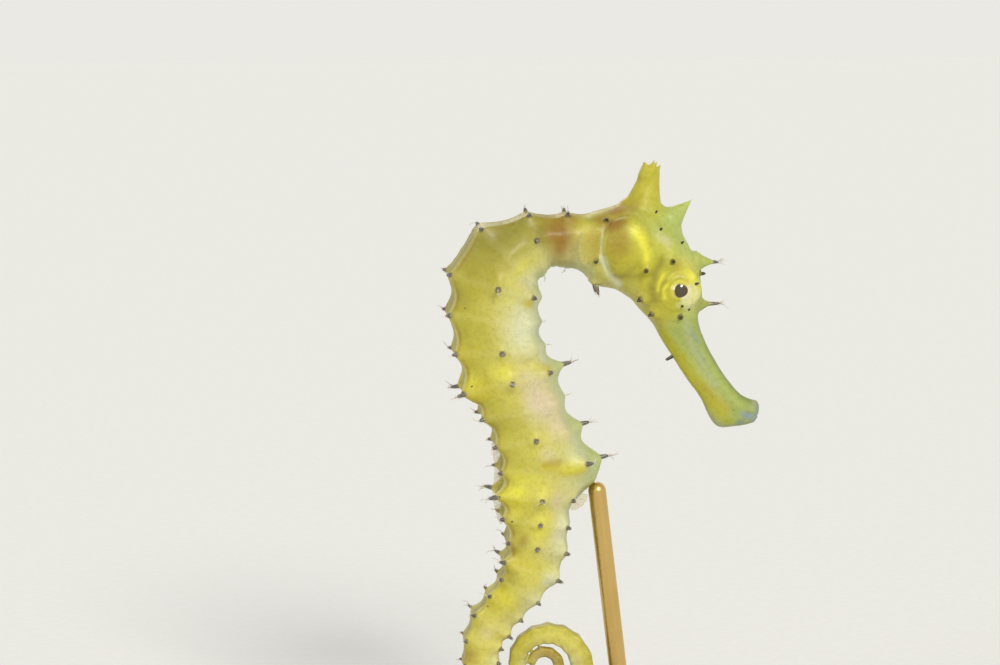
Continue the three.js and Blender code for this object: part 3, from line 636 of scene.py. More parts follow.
def fine_relief(points, s, side, up):
    """Small relief of the skin along its normals."""
    angle = np.arctan2(np.abs(side), up)
    lateral = np.clip(np.abs(side) / np.maximum(section_size(s)[2], 0.3), 0, 1.2)
    # Skin folds run round the eye, closer and deeper behind and under it.
    eye_away = np.hypot(s - EYE["at"], up - EYE["above"])
    eye_turn = np.arctan2(up - EYE["above"], s - EYE["at"])
    behind = (0.5 + 0.5 * np.cos(eye_turn + 0.6)) ** 1.6
    lid = (0.03 + 0.08 * behind) * ripple(eye_away - 1.22, 0.13)
    folds = behind * (0.05 * ripple(eye_away - 1.62, 0.13) - 0.05 * ripple(eye_away - 1.42, 0.09))
    folds += behind * (0.05 * ripple(eye_away - 2.05, 0.15) - 0.06 * ripple(eye_away - 1.83, 0.09))
    relief = (lid + folds) * (lateral > 0.4)
    # The gill cover has a raised rim behind and fine ribs that fan out from its front.
    gill_u, gill_v = (s - GILL["at"]) / GILL["half"][0], (up - GILL["above"]) / GILL["half"][1]
    gill_away = np.hypot(gill_u, gill_v)
    fan = np.arctan2(up - 1.2, s - 19.4)
    inside = ease(gill_away, 1.0, 0.75) * ease(gill_away, 0.1, 0.45) * (lateral > 0.4)
    relief += 0.022 * np.sin(fan * 42) * inside
    rim = ripple(gill_away - 1.0, 0.05) * ease(gill_u, -0.4, 0.6)
    relief += (0.05 * rim - 0.11 * ripple(gill_away - 1.1, 0.05) * ease(gill_u, -0.6, 0.4)) * (lateral > 0.4)
    # Wrinkles inside the bend of the neck.
    bend = ease(s, 26.5, 29) * ease(s, 38, 35) * ease(angle, 1.6, 2.3)
    relief += 0.035 * bend * np.sin(s * 9 + 2 * grain(points, 1.5, 5))
    # The cleft of the mouth runs back a little on each side, between two swollen lips.
    cleft = ease(s, 1.5, 0.5) * ease(np.abs(side), 0.15, 0.5)
    relief += cleft * (0.07 * ripple(angle - 1.68, 0.42) - 0.16 * ripple(angle - 1.68, 0.14))
    relief += 0.05 * ripple(s - 0.1, 0.35) * ease(angle, 1.5, 1.2)
    # Faint ribs along the snout.
    relief += 0.012 * ease(s, 2.5, 4) * ease(s, 13, 11) * np.sin(angle * 11)
    body = ease(s, 24, 27)
    relief += 0.035 * grain(points, 1.3, 1) * (0.4 + 0.6 * body)
    relief += 0.014 * grain(points, 0.5, 2)
    return relief


skin_mesh, loft, loft_places = merged_skin()
skin_points = smoothed(skin_mesh, mesh_points(skin_mesh), 2, 0.5)
along, left, height = body_places(skin_points, loft, loft_places)
set_points(skin_mesh, skin_points)
# The coronet is smoothed more than the rest, so that it runs softly into the head.
crown = ease(height, 3.2, 4.2) * ease(along, 17.6, 18.6) * ease(along, 26.5, 25.4)
skin_points = smoothed(skin_mesh, skin_points, 6, 0.45 * np.clip(crown, 0, 1))
set_points(skin_mesh, skin_points)
skin_points = skin_points + mesh_normals(skin_mesh) * fine_relief(skin_points, along, left, height)[:, None]
set_points(skin_mesh, skin_points)

# ---- markings, with painted highlights, sheen and shade --------------------------------------

# Each patch: place, way round from the back (0) to the keel (1), reach along, reach round, strength.
MARKINGS = {
    "green": [
        (18.4, 0.08, 2.9, 0.24, 1.0), (20.4, 0.2, 1.3, 0.12, 0.6), (13.2, 0.2, 1.5, 0.3, 0.9),
        (12.6, 0.45, 1.2, 0.3, 0.7), (57.0, 0.95, 2.6, 0.2, 0.45), (47.8, 0.92, 1.6, 0.14, 0.4),
        (32.5, 0.97, 3.5, 0.1, 0.5), (37.5, 0.62, 1.4, 0.16, 0.4), (53.5, 0.9, 1.6, 0.12, 0.35),
        (7.0, 0.45, 4.5, 0.2, 0.5), (2.6, 0.45, 1.6, 0.2, 0.4),
    ],
    "pale_yellow": [
        (26.4, 0.5, 1.0, 0.3, 0.7), (33.5, 0.66, 2.2, 0.16, 0.6), (36.8, 0.62, 1.8, 0.18, 0.5),
        (54.0, 0.5, 1.8, 0.3, 0.5), (58.6, 0.4, 2.6, 0.26, 0.9), (61.0, 0.22, 2.0, 0.12, 0.6),
        (62.5, 0.5, 2.6, 0.24, 0.8), (67.5, 0.5, 2.2, 0.4, 0.8), (76, 0.6, 3.5, 0.4, 0.8),
        (86, 0.6, 3.5, 0.4, 0.7), (99, 0.6, 4.0, 0.4, 0.7), (48.0, 0.4, 1.6, 0.12, 0.6),
        (45.6, 0.42, 1.2, 0.14, 0.5), (15.0, 0.27, 1.6, 0.12, 0.8), (17.0, 0.2, 1.4, 0.1, 0.6),
        (38.6, 0.57, 0.9, 0.12, 0.6), (46.0, 0.7, 1.0, 0.16, 0.6),
    ],
    "cream": [
        (41.6, 0.7, 3.4, 0.2, 1.0), (35.2, 0.78, 2.4, 0.12, 0.6), (45.0, 0.86, 2.6, 0.12, 0.5),
        (67.5, 0.76, 0.9, 0.13, 0.9), (62.5, 0.76, 3.0, 0.15, 0.8), (70.5, 0.85, 2.0, 0.25, 0.6),
        (79, 0.85, 3.0, 0.25, 0.6), (20.0, 0.27, 0.8, 0.05, 0.35), (92, 0.85, 4.0, 0.25, 0.5),
        (14.3, 0.3, 0.9, 0.08, 1.0), (13.9, 0.37, 0.8, 0.07, 0.9), (55.5, 0.82, 1.6, 0.12, 0.4),
    ],
    "rosy": [
        (49.8, 0.64, 2.8, 0.16, 1.0), (47.0, 0.58, 1.2, 0.1, 0.45), (52.6, 0.7, 1.8, 0.12, 0.8),
        (36.6, 0.7, 1.4, 0.1, 0.3), (19.6, 0.26, 0.5, 0.05, 0.35), (59.8, 0.6, 1.4, 0.1, 0.6),
        (55.0, 0.55, 0.9, 0.08, 0.5), (63.0, 0.7, 1.2, 0.08, 0.4), (88, 0.5, 1.6, 0.2, 0.4),
        (75, 0.45, 1.0, 0.15, 0.4), (22.4, 0.87, 1.0, 0.05, 0.3),
    ],
    # Olive skin, with one patch of painted shade.
    "olive_and_painted_shade": [
        (33.4, 0.22, 4.4, 0.4, 1.0), (31.0, 0.42, 1.8, 0.24, 0.9), (36.4, 0.32, 2.6, 0.2, 0.7),
        (28.6, 0.87, 2.0, 0.12, 0.45), (25.6, 0.22, 1.2, 0.12, 0.6), (22.5, 0.7, 1.8, 0.1, 0.2),
        (39.6, 0.2, 1.4, 0.12, 0.4), (69, 0.2, 1.2, 0.3, 0.5), (83, 0.3, 1.8, 0.3, 0.5),
        (108, 0.3, 2.4, 0.4, 0.5), (51.0, 0.16, 1.6, 0.12, 0.4), (64.6, 0.14, 2.2, 0.16, 0.6),
        # The patch at 12.9, 0.15 is painted shade on the front of the head, under the nose spine.
        (17.6, 0.36, 0.8, 0.06, 0.5), (12.9, 0.15, 1.2, 0.13, 0.5),
    ],
    "deep_yellow": [
        (46.8, 0.72, 0.9, 0.07, 0.4), (38.7, 0.74, 0.7, 0.08, 0.8), (37.4, 0.36, 1.6, 0.12, 0.4),
        (46.8, 0.8, 0.8, 0.1, 0.7), (47.3, 0.24, 1.4, 0.16, 0.6), (60.2, 0.22, 1.6, 0.14, 0.7),
        (44.0, 0.16, 1.2, 0.12, 0.3),
        (56.9, 0.7, 0.7, 0.12, 0.9), (16.0, 0.52, 0.9, 0.1, 0.7), (16.8, 0.34, 1.0, 0.08, 0.7),
        (71.5, 0.35, 1.4, 0.5, 0.7), (80, 0.35, 1.6, 0.5, 0.7), (91, 0.35, 1.6, 0.5, 0.6),
        (103, 0.4, 2.0, 0.9, 0.6), (23.0, 0.03, 2.2, 0.1, 0.4), (66.8, 0.4, 0.9, 0.25, 0.5),
    ],
    "orange": [
        (24.0, 0.14, 1.4, 0.12, 1.0), (22.9, 0.14, 1.0, 0.08, 0.6), (23.9, 0.33, 1.2, 0.12, 1.0),
        (24.9, 0.28, 0.9, 0.12, 0.7), (23.3, 0.46, 1.4, 0.2, 0.65), (29.2, 0.46, 1.7, 0.42, 1.0),
        (28.4, 0.25, 1.4, 0.2, 0.8), (64.3, 0.34, 1.0, 0.08, 0.55), (65.4, 0.22, 1.0, 0.1, 0.6),
        (56.0, 0.6, 0.5, 0.1, 0.35), (62.8, 0.4, 0.5, 0.05, 0.5), (77.5, 0.25, 0.9, 0.2, 0.6),
        (88.5, 0.25, 1.0, 0.25, 0.5), (113, 0.5, 3.0, 1.0, 0.6), (45.2, 0.66, 0.4, 0.1, 0.25),
    ],
    # Partly painted highlight, on the folds round the eye and in front of it, and partly bright yellow skin.
    "yellow_and_painted_highlight": [
        (16.3, 0.27, 0.7, 0.06, 0.9), (14.3, 0.31, 1.0, 0.1, 0.35), (46.4, 0.17, 1.2, 0.08, 0.45),
        (46.0, 0.44, 1.1, 0.1, 0.5), (59.2, 0.26, 1.5, 0.12, 0.65), (57.4, 0.3, 1.5, 0.15, 0.4),
        (56.4, 0.72, 0.8, 0.1, 0.4), (63.0, 0.45, 1.2, 0.1, 0.35), (71.0, 0.4, 1.5, 0.2, 0.3),
        (34.4, 0.6, 1.4, 0.07, 0.3), (61.0, 0.5, 1.2, 0.1, 0.3), (58.6, 0.14, 2.2, 0.08, 0.5),
    ],
    "bone_and_painted_sheen": [
        (1.8, 1.0, 2.6, 0.1, 0.9), (0.3, 0.1, 0.5, 0.24, 0.7), (67.5, 0.76, 0.5, 0.08, 0.5),
        (41.6, 0.96, 3.0, 0.1, 0.7),
    ],
    "blue_lip_and_painted_sheen": [
        (-0.4, 0.5, 0.6, 0.9, 0.8), (0.4, 0.6, 0.9, 0.13, 1.0), (0.6, 0.84, 0.7, 0.12, 0.7),
        # The two patches at 10.6 and 8.2 are painted sheen on the snout; the rest are the bluish lips.
        (10.6, 0.42, 1.3, 0.06, 0.6), (8.2, 0.5, 1.6, 0.05, 0.35),
    ],
}  # fmt: skip

# Each stripe: the places and ways round that it runs through, its half width in mm and strength.
STRIPES = {
    # Painted highlight: the broad crescent on the front of the gill cover, and two thin crescents behind and
    # under the eye.
    "yellow_and_painted_highlight": [
        (((22.3, 0.36), (21.4, 0.41), (20.7, 0.46), (20.2, 0.52)), 0.5, 1.0),
        (((16.6, 0.52), (16.3, 0.58), (15.4, 0.6)), 0.17, 0.8),
        (((17.7, 0.5), (17.3, 0.58), (16.4, 0.64)), 0.16, 0.7),
    ],
    "cream": [
        (((24.8, 0.68), (23.8, 0.79), (21.9, 0.85), (20.6, 0.88)), 0.4, 0.95),
        (((25.0, 0.34), (25.1, 0.5), (24.8, 0.66)), 0.17, 0.6),
    ],
    "olive_and_painted_shade": [
        (((18.9, 0.42), (18.5, 0.55), (17.4, 0.66), (15.5, 0.71)), 0.42, 0.7),
        (((17.1, 0.5), (16.8, 0.59), (15.8, 0.63)), 0.13, 0.7),
        (((19.3, 0.7), (21.0, 0.79), (22.6, 0.78)), 0.45, 0.5),
    ],
    # Painted sheen: a pale streak along the middle of the snout.
    "bone_and_painted_sheen": [(((12.2, 0.46), (9.6, 0.57), (7.2, 0.6), (5.0, 0.62)), 0.34, 0.45)],
    "deep_yellow": [
        (((56.3, 0.5), (56.6, 0.62), (57.0, 0.76)), 0.55, 0.9),
        (((2.6, 0.78), (5.0, 0.86), (8.0, 0.9), (12.0, 0.86)), 0.5, 0.6),
    ],
    "orange": [
        (((55.9, 0.5), (56.1, 0.6)), 0.35, 0.25),
        (((2.4, 0.7), (4.0, 0.76), (5.6, 0.78)), 0.3, 0.22),
    ],
    "pale_yellow": [(((16.9, 0.3), (17.2, 0.4), (17.0, 0.5)), 0.2, 0.5)],
}
# In front of the eye the skin gets cream and a little painted highlight.
LIDS = {"cream": 1.0, "yellow_and_painted_highlight": 0.4}  # how strongly two markings colour the skin in front of the eye


def patch_strength(s, around, patches):
    """How strongly soft-edged patches of a marking colour each point."""
    total = np.zeros(len(s))
    for at, turn, reach, width, strength in patches:
        away = np.hypot((s - at) / reach, (around - turn) / width)
        total = np.maximum(total, strength * np.exp(-(np.maximum(away - 0.15, 0) ** 2) * 2.2))
    return total


def stripe_strength(s, around, stripes):
    """How strongly soft-edged stripes of a marking colour each point."""
    total = np.zeros(len(s))
    reach = math.pi * section_size(s)[2]
    for line, width, strength in stripes:
        nearest = np.full(len(s), 9.0)
        for (start_s, start_turn), (end_s, end_turn) in itertools.pairwise(line):
            x, y = s - start_s, (around - start_turn) * reach
            run, rise = end_s - start_s, (end_turn - start_turn) * reach
            t = np.clip((x * run + y * rise) / (run**2 + rise**2), 0, 1)
            nearest = np.minimum(nearest, np.hypot(x - t * run, y - t * rise))
        total = np.maximum(total, strength * ripple(nearest, width))
    return total


def freckle_zone(s, around):
    """1 near the spines of the rings and 0 elsewhere."""
    nearest = np.full(len(s), 9.0)
    for place, middle, length, _, _ in SITES:
        if length:
            width = section_radius(np.array(place), np.array(middle)) * math.pi
            gap = np.hypot(s - place, (around - middle / math.pi) * width)
            nearest = np.minimum(nearest, gap)
    return ease(nearest, 2.2, 0.9)


# How far the dark stain round a spine reaches, in mm, and how near its middle a point of the skin
# counts as on it.
TRUNK_STAIN, TAIL_STAIN, SINGLE_STAIN, ON_SPINE = 0.31, 0.26, 0.34, 0.25


def spine_pigment(points):
    """1 on the skin close round the place where a spine's dark core comes out, and 0 elsewhere."""
    tree = kdtree.KDTree(len(points))
    for i, point in enumerate(points):
        tree.insert(point, i)
    tree.balance()
    spines = [
        (foot, tip, TAIL_STAIN if ring > TRUNK_RINGS else TRUNK_STAIN)
        for foot, tip, _, ring, row in ring_spines()
        if row != KEEL
    ]
    spines += [(foot, tip, SINGLE_STAIN) for foot, tip, _, _ in single_spines()]
    pigment = np.zeros(len(points))
    for foot, tip, reach in spines:
        length = (tip - foot).length
        way = (tip - foot) / length
        near = np.array([i for _, i, _ in tree.find_range(foot, length + 0.3)])
        if not len(near):
            continue
        away = points[near] - np.array(foot)
        risen = away @ np.array(way)
        beside = np.linalg.norm(away - risen[:, None] * np.array(way), axis=1)
        under = (beside < ON_SPINE) & (risen > -0.6)
        if not under.any():
            continue
        gap = np.linalg.norm(away - np.array(way) * risen[under].max(), axis=1)
        pigment[near] = np.maximum(pigment[near], ease(gap, reach + 0.07, reach - 0.05))
    return pigment


def set_attribute(mesh, name, values):
    attribute = mesh.attributes.new(name, "FLOAT", "POINT")
    attribute.data.foreach_set("value", np.asarray(values, np.float32))


around = np.arctan2(np.abs(left), height) / math.pi
streak = grain(np.stack([along / 3.2, around * 9, np.zeros_like(along)], -1), 1.0, 21)
back_corner = corners_at(along)[..., 0, :]
off_corner = np.hypot(left, height) * (
    around * math.pi - np.arctan2(back_corner[..., 0], back_corner[..., 1])
)
crown_front = crown * ease(along, 21.4, 20.2)
set_attribute(skin_mesh, "around", around + 0.03 * grain(skin_points, 2.5, 14))
set_attribute(skin_mesh, "streak", 0.5 + 0.5 * streak)
set_attribute(skin_mesh, "snout", ease(along, 13.6, 11.6))
set_attribute(skin_mesh, "trunk", ease(along, 24.0, 27.0))
set_attribute(skin_mesh, "ring", ripple(ring_crest(along) - 1, 0.12) * ease(along, 26, 29))
set_attribute(skin_mesh, "crown", crown * (1 - crown_front) * (1 - ease(along, 23.2, 24.6)))
set_attribute(skin_mesh, "crown_front", crown_front)
ridged = ease(along, 31, 35) * ease(along, 70, 64)
between_rings = 0.35 + 0.65 * (1 - ring_crest(along))
# Painted shadow of the skin fold along the back: a dark line just inside the back corner, stronger between
# the rings, in the hollows.
set_attribute(skin_mesh, "painted_fold_shadow", 0.75 * ripple(off_corner - 0.24, 0.15) * ridged * between_rings)
set_attribute(skin_mesh, "back_edge", ripple(off_corner, 0.14) * ridged * (0.4 + 0.6 * ease(along, 36, 41)))
set_attribute(skin_mesh, "freckled", freckle_zone(along, around))
set_attribute(skin_mesh, "spine_pigment", spine_pigment(skin_points))
# The skin is creamy in front of the eye, as the eye itself is, and a little painted highlight lies there too.
eye_away = np.hypot(along - EYE["at"], height - EYE["above"])
eye_turn = np.arctan2(height - EYE["above"], along - EYE["at"])
eye_front = ripple(eye_away - 1.3, 0.45) * ease(np.cos(eye_turn - 2.6), 0.2, 0.9) * (np.abs(left) > 1.5)
marked_along = along + 0.3 * grain(skin_points, 1.8, 11) + 0.1 * grain(skin_points, 0.6, 12)
marked_around = around + 0.025 * grain(skin_points, 1.8, 13)
for name, patches in MARKINGS.items():
    strength = patch_strength(marked_along, marked_around, patches)
    strength = np.maximum(strength, stripe_strength(along, around, STRIPES.get(name, [])))
    strength = np.maximum(strength, eye_front * LIDS.get(name, 0))
    set_attribute(skin_mesh, name, strength)
set_points(skin_mesh, skin_points * MM)

# ---- materials -------------------------------------------------------------------------------


def linear(hex_colour):
    """An sRGB hex colour as linear RGBA."""
    channels = [int(hex_colour[i : i + 2], 16) / 255 for i in (1, 3, 5)]
    return (*[c / 12.92 if c <= 0.04045 else ((c + 0.055) / 1.055) ** 2.4 for c in channels], 1)


def add_node(tree, kind, inputs=None, stops=(), **settings):
    """A new node. Each input, by name or number, takes a value or another node's output. Stops
    are the positions and hex colours of a colour ramp."""
    made = tree.nodes.new(kind)
    for name, value in settings.items():
        setattr(made, name, value)
    for socket, value in (inputs or {}).items():
        if isinstance(value, bpy.types.NodeSocket):
            tree.links.new(value, made.inputs[socket])
        else:
            made.inputs[socket].default_value = value
    for number, (position, colour) in enumerate(stops):
        elements = made.color_ramp.elements
        if number == 0:  # the ramp starts with two stops, and one stays
            elements.remove(elements[1])
            elements[0].position, elements[0].color = position, linear(colour)
        else:
            elements.new(position).color = linear(colour)
    return made


def new_material(name, **finish):
    """A material and its shader. Each finish is a socket's name, with _ for a space, and value."""
    material = bpy.data.materials.new(name)
    material.use_nodes = True
    shader = material.node_tree.nodes["Principled BSDF"]
    for socket, value in finish.items():
        shader.inputs[socket.replace("_", " ")].default_value = value
    return material, material.node_tree, shader


# Colours round the body, from the back (0) to the keel (1): the head, then what replaces it on
# the snout and on the trunk and tail. The snout's band darkens towards the back as painted shade.
BANDS = {
    "head": [
        (0.0, "#a3aa46"), (0.28, "#c3c24a"), (0.45, "#c1bd3f"), (0.6, "#c0ba3a"), (0.76, "#bdb63f"),
        (1.0, "#c5c074"),
    ],
    # The first two stops are darker as painted shade.
    "snout": [
        (0.0, "#748343"), (0.16, "#85954c"), (0.3, "#9baa5a"), (0.6, "#a3b164"), (0.74, "#acb763"),
        (0.84, "#adb443"), (1.0, "#a9b13c"),
    ],
    "trunk": [
        (0.0, "#a39a42"), (0.15, "#b4ab3d"), (0.28, "#bfb742"), (0.42, "#c9c158"), (0.56, "#cec879"),
        (0.72, "#cdca88"), (0.88, "#c3c898"), (1.0, "#b8c28c"),
    ],
}  # fmt: skip
# Markings in the order in which they lie over each other.
HUES = {
    "crown": "#c1bf42",
    "crown_front": "#b4c468",
    "green": "#b4c26a",
    "pale_yellow": "#ded662",
    "cream": "#dde0b9",
    "rosy": "#dacbaa",
    # Olive, also used for painted shade on the front of the head.
    "olive_and_painted_shade": "#928a32",
    "deep_yellow": "#c6b92e",
    "orange": "#977424",
    # Bright yellow, used for painted highlight and for bright yellow skin.
    "yellow_and_painted_highlight": "#ece84e",
    # Pale grey, for bone-pale skin and for a painted sheen along the snout.
    "bone_and_painted_sheen": "#b7b99b",
    # Bluish grey of the lips, also used for painted sheen on the snout.
    "blue_lip_and_painted_sheen": "#8a9ca2",
    # Brown of the painted shadow beside the fold of the back.
    "painted_fold_shadow": "#8f7826",
    "back_edge": "#c6c27c",
}


def moist_skin():
    """Moist fish skin: soft gloss, and light goes a little way in, so thin parts are lit through."""
    material, tree, shader = new_material(
        "moist_skin",
        Roughness=0.42,
        IOR=1.35,
        Subsurface_Weight=0.3,
        Subsurface_Radius=(1.0, 0.7, 0.3),
        Subsurface_Scale=0.0007,
        Coat_Weight=0.1,
        Coat_Roughness=0.2,
    )
    place = add_node(tree, "ShaderNodeTexCoord").outputs["Object"]
    attribute = {
        name: add_node(tree, "ShaderNodeAttribute", attribute_name=name).outputs["Fac"]
        for name in ("around", "streak", "snout", "trunk", "ring", "freckled", "spine_pigment", *HUES)
    }
    # Blotches about 1.5 mm across shift the bands of colour, and 0.4 mm mottling varies them.
    blotch = add_node(tree, "ShaderNodeTexNoise", {"Vector": place, "Scale": 650, "Detail": 3})
    mottle = add_node(tree, "ShaderNodeTexNoise", {"Vector": place, "Scale": 2200, "Detail": 5})
    shift = add_node(
        tree, "ShaderNodeMath", {0: blotch.outputs["Fac"], 1: 0.2, 2: -0.1}, operation="MULTIPLY_ADD"
    )
    banded = add_node(tree, "ShaderNodeMath", {0: attribute["around"], 1: shift.outputs[0]}, operation="ADD")
    bands = {
        name: add_node(tree, "ShaderNodeValToRGB", {"Fac": banded.outputs[0]}, stops).outputs["Color"]
        for name, stops in BANDS.items()
    }
    # What lies over the head's bands, in order: how strongly, which colour and how they blend.
    layers = [(attribute[name], bands[name], "MIX") for name in ("snout", "trunk")]
    layers += [(attribute[name], linear(hue), "MIX") for name, hue in HUES.items()]
    # Soft streaks run along the body, and the skin is milkier on the ring edges.
    pale = add_node(
        tree,
        "ShaderNodeMapRange",
        {"Value": attribute["streak"], "From Min": 0.45, "From Max": 0.9, "To Max": 0.08},
    )
    layers.append((pale.outputs["Result"], linear("#f0e88e"), "MIX"))
    edge = add_node(tree, "ShaderNodeMath", {0: attribute["ring"], 1: 0.06}, operation="MULTIPLY")
    layers.append((edge.outputs[0], linear("#f2ecc0"), "MIX"))
    stops = [(0.3, "#eae7d6"), (0.5, "#fbfaf6"), (0.7, "#ffffff")]
    fleck = add_node(tree, "ShaderNodeValToRGB", {"Fac": mottle.outputs["Fac"]}, stops)
    layers.append((0.7, fleck.outputs["Color"], "MULTIPLY"))
    # A few dark pigment dots, a fifth of a millimetre across, lie near the spines.
    cells = add_node(tree, "ShaderNodeTexVoronoi", {"Vector": place, "Scale": 780})
    dot = add_node(
        tree, "ShaderNodeMapRange", {"Value": cells.outputs["Distance"], "From Min": 0.1, "From Max": 0.06}
    )
    chosen = add_node(
        tree, "ShaderNodeMath", {0: cells.outputs["Color"], 1: 0.62}, operation="GREATER_THAN"
    )
    dotted = add_node(
        tree, "ShaderNodeMath", {0: dot.outputs["Result"], 1: chosen.outputs[0]}, operation="MULTIPLY"
    )
    placed = add_node(
        tree, "ShaderNodeMath", {0: dotted.outputs[0], 1: attribute["freckled"]}, operation="MULTIPLY"
    )
    layers.append((placed.outputs[0], linear("#5d5020"), "MIX"))
    # The flesh is dark close round the root of each spine.
    stained = add_node(tree, "ShaderNodeMath", {0: attribute["spine_pigment"], 1: 0.85}, operation="MULTIPLY")
    layers.append((stained.outputs[0], linear("#463c28"), "MIX"))
    # Pigment cells, an eighth of a millimetre across, pepper the whole skin, here more and there
    # less, as the blotches go.
    grains = add_node(tree, "ShaderNodeTexVoronoi", {"Vector": place, "Scale": 3600})
    pepper = add_node(
        tree,
        "ShaderNodeMapRange",
        {"Value": grains.outputs["Distance"], "From Min": 0.32, "From Max": 0.14, "To Max": 0.3},
    )
    thick = add_node(
        tree,
        "ShaderNodeMapRange",
        {"Value": blotch.outputs["Fac"], "From Min": 0.35, "From Max": 0.65, "To Min": 0.3},
    )
    pepper = add_node(
        tree,
        "ShaderNodeMath",
        {0: pepper.outputs["Result"], 1: thick.outputs["Result"]},
        operation="MULTIPLY",
    )
    layers.append((pepper.outputs[0], linear("#8d8230"), "MIX"))
    colour = bands["head"]
    for amount, over, blend in layers:  # inputs 6 and 7 and output 2 are a Mix node's colours
        under_over = {"Factor": amount, 6: colour, 7: over}
        mix = add_node(tree, "ShaderNodeMix", under_over, data_type="RGBA", blend_type=blend)
        colour = mix.outputs[2]
    tree.links.new(colour, shader.inputs["Base Color"])
    # Fine pores, a quarter of a millimetre apart, drawn a little coarser than they are.
    pores = add_node(tree, "ShaderNodeTexVoronoi", {"Vector": place, "Scale": 4200})
    pored = add_node(
        tree, "ShaderNodeBump", {"Strength": 0.2, "Distance": 0.00006, "Height": pores.outputs["Distance"]}
    )
    grainy = add_node(
        tree,
        "ShaderNodeBump",
        {
            "Strength": 0.3,
            "Distance": 0.0001,
            "Height": mottle.outputs["Fac"],
            "Normal": pored.outputs["Normal"],
        },
    )
    tree.links.new(grainy.outputs["Normal"], shader.inputs["Normal"])
    gloss = add_node(
        tree,
        "ShaderNodeMapRange",
        {"Value": mottle.outputs["Fac"], "From Min": 0.3, "From Max": 0.7, "To Min": 0.36, "To Max": 0.52},
    )
    tree.links.new(gloss.outputs["Result"], shader.inputs["Roughness"])
    return material


def dark_horn():
    """Horny spine tips: dark brown, hard and smooth, paler towards the root."""
    material, tree, shader = new_material(
        "dark_horn", Roughness=0.3, IOR=1.55, Coat_Weight=0.3, Coat_Roughness=0.1
    )
    place = add_node(tree, "ShaderNodeTexCoord").outputs["Object"]
    grown = add_node(tree, "ShaderNodeAttribute", attribute_name="grown").outputs["Fac"]
    uneven = add_node(tree, "ShaderNodeTexNoise", {"Vector": place, "Scale": 9000, "Detail": 3})
    wander = add_node(
        tree, "ShaderNodeMath", {0: uneven.outputs["Fac"], 1: 0.3, 2: -0.15}, operation="MULTIPLY_ADD"
    )
    position = add_node(tree, "ShaderNodeMath", {0: grown, 1: wander.outputs[0]}, operation="ADD")
    stops = [(0.0, "#a39a4a"), (0.2, "#6a6030"), (0.38, "#332c18"), (0.86, "#241f12"), (1.0, "#3a3226")]
    ramp = add_node(tree, "ShaderNodeValToRGB", {"Fac": position.outputs[0]}, stops)
    tree.links.new(ramp.outputs["Color"], shader.inputs["Base Color"])
    bump = add_node(
        tree, "ShaderNodeBump", {"Strength": 0.3, "Distance": 0.00003, "Height": uneven.outputs["Fac"]}
    )
    tree.links.new(bump.outputs["Normal"], shader.inputs["Normal"])
    return material


def clear_sheath():
    """Clear slime-covered skin round a spine: almost glassy, with a milky, rosy bulb at its tip."""
    material, tree, shader = new_material(
        "clear_sheath", Roughness=0.2, IOR=1.34, Subsurface_Weight=0.2, Subsurface_Scale=0.0003
    )
    place = add_node(tree, "ShaderNodeTexCoord").outputs["Object"]
    grown = add_node(tree, "ShaderNodeAttribute", attribute_name="grown").outputs["Fac"]
    milky = add_node(tree, "ShaderNodeTexNoise", {"Vector": place, "Scale": 5000, "Detail": 2})
    stops = [(0.35, "#cdbcae"), (0.65, "#eee8dc")]
    ramp = add_node(tree, "ShaderNodeValToRGB", {"Fac": milky.outputs["Fac"]}, stops)
    tree.links.new(ramp.outputs["Color"], shader.inputs["Base Color"])
    sleeve = add_node(
        tree,
        "ShaderNodeMapRange",
        {"Value": milky.outputs["Fac"], "From Min": 0.3, "From Max": 0.7, "To Min": 0.08, "To Max": 0.2},
    )
    bulb = add_node(
        tree, "ShaderNodeMapRange", {"Value": grown, "From Min": 0.75, "From Max": 0.95, "To Max": 0.35}
    )
    cover = add_node(
        tree,
        "ShaderNodeMath",
        {0: sleeve.outputs["Result"], 1: bulb.outputs["Result"]},
        operation="MAXIMUM",
    )
    tree.links.new(cover.outputs[0], shader.inputs["Alpha"])
    return material


def skin_thread():
    """Hair-thin skin threads: soft and milky white, and light goes some way in."""
    material, tree, shader = new_material(
        "skin_thread", Roughness=0.5, IOR=1.38, Subsurface_Weight=0.3, Subsurface_Scale=0.0003
    )
    place = add_node(tree, "ShaderNodeTexCoord").outputs["Object"]
    milky = add_node(tree, "ShaderNodeTexNoise", {"Vector": place, "Scale": 3000, "Detail": 2})
    stops = [(0.35, "#b9b3a2"), (0.6, "#e4e1d3")]
    ramp = add_node(tree, "ShaderNodeValToRGB", {"Fac": milky.outputs["Fac"]}, stops)
    tree.links.new(ramp.outputs["Color"], shader.inputs["Base Color"])
    return material


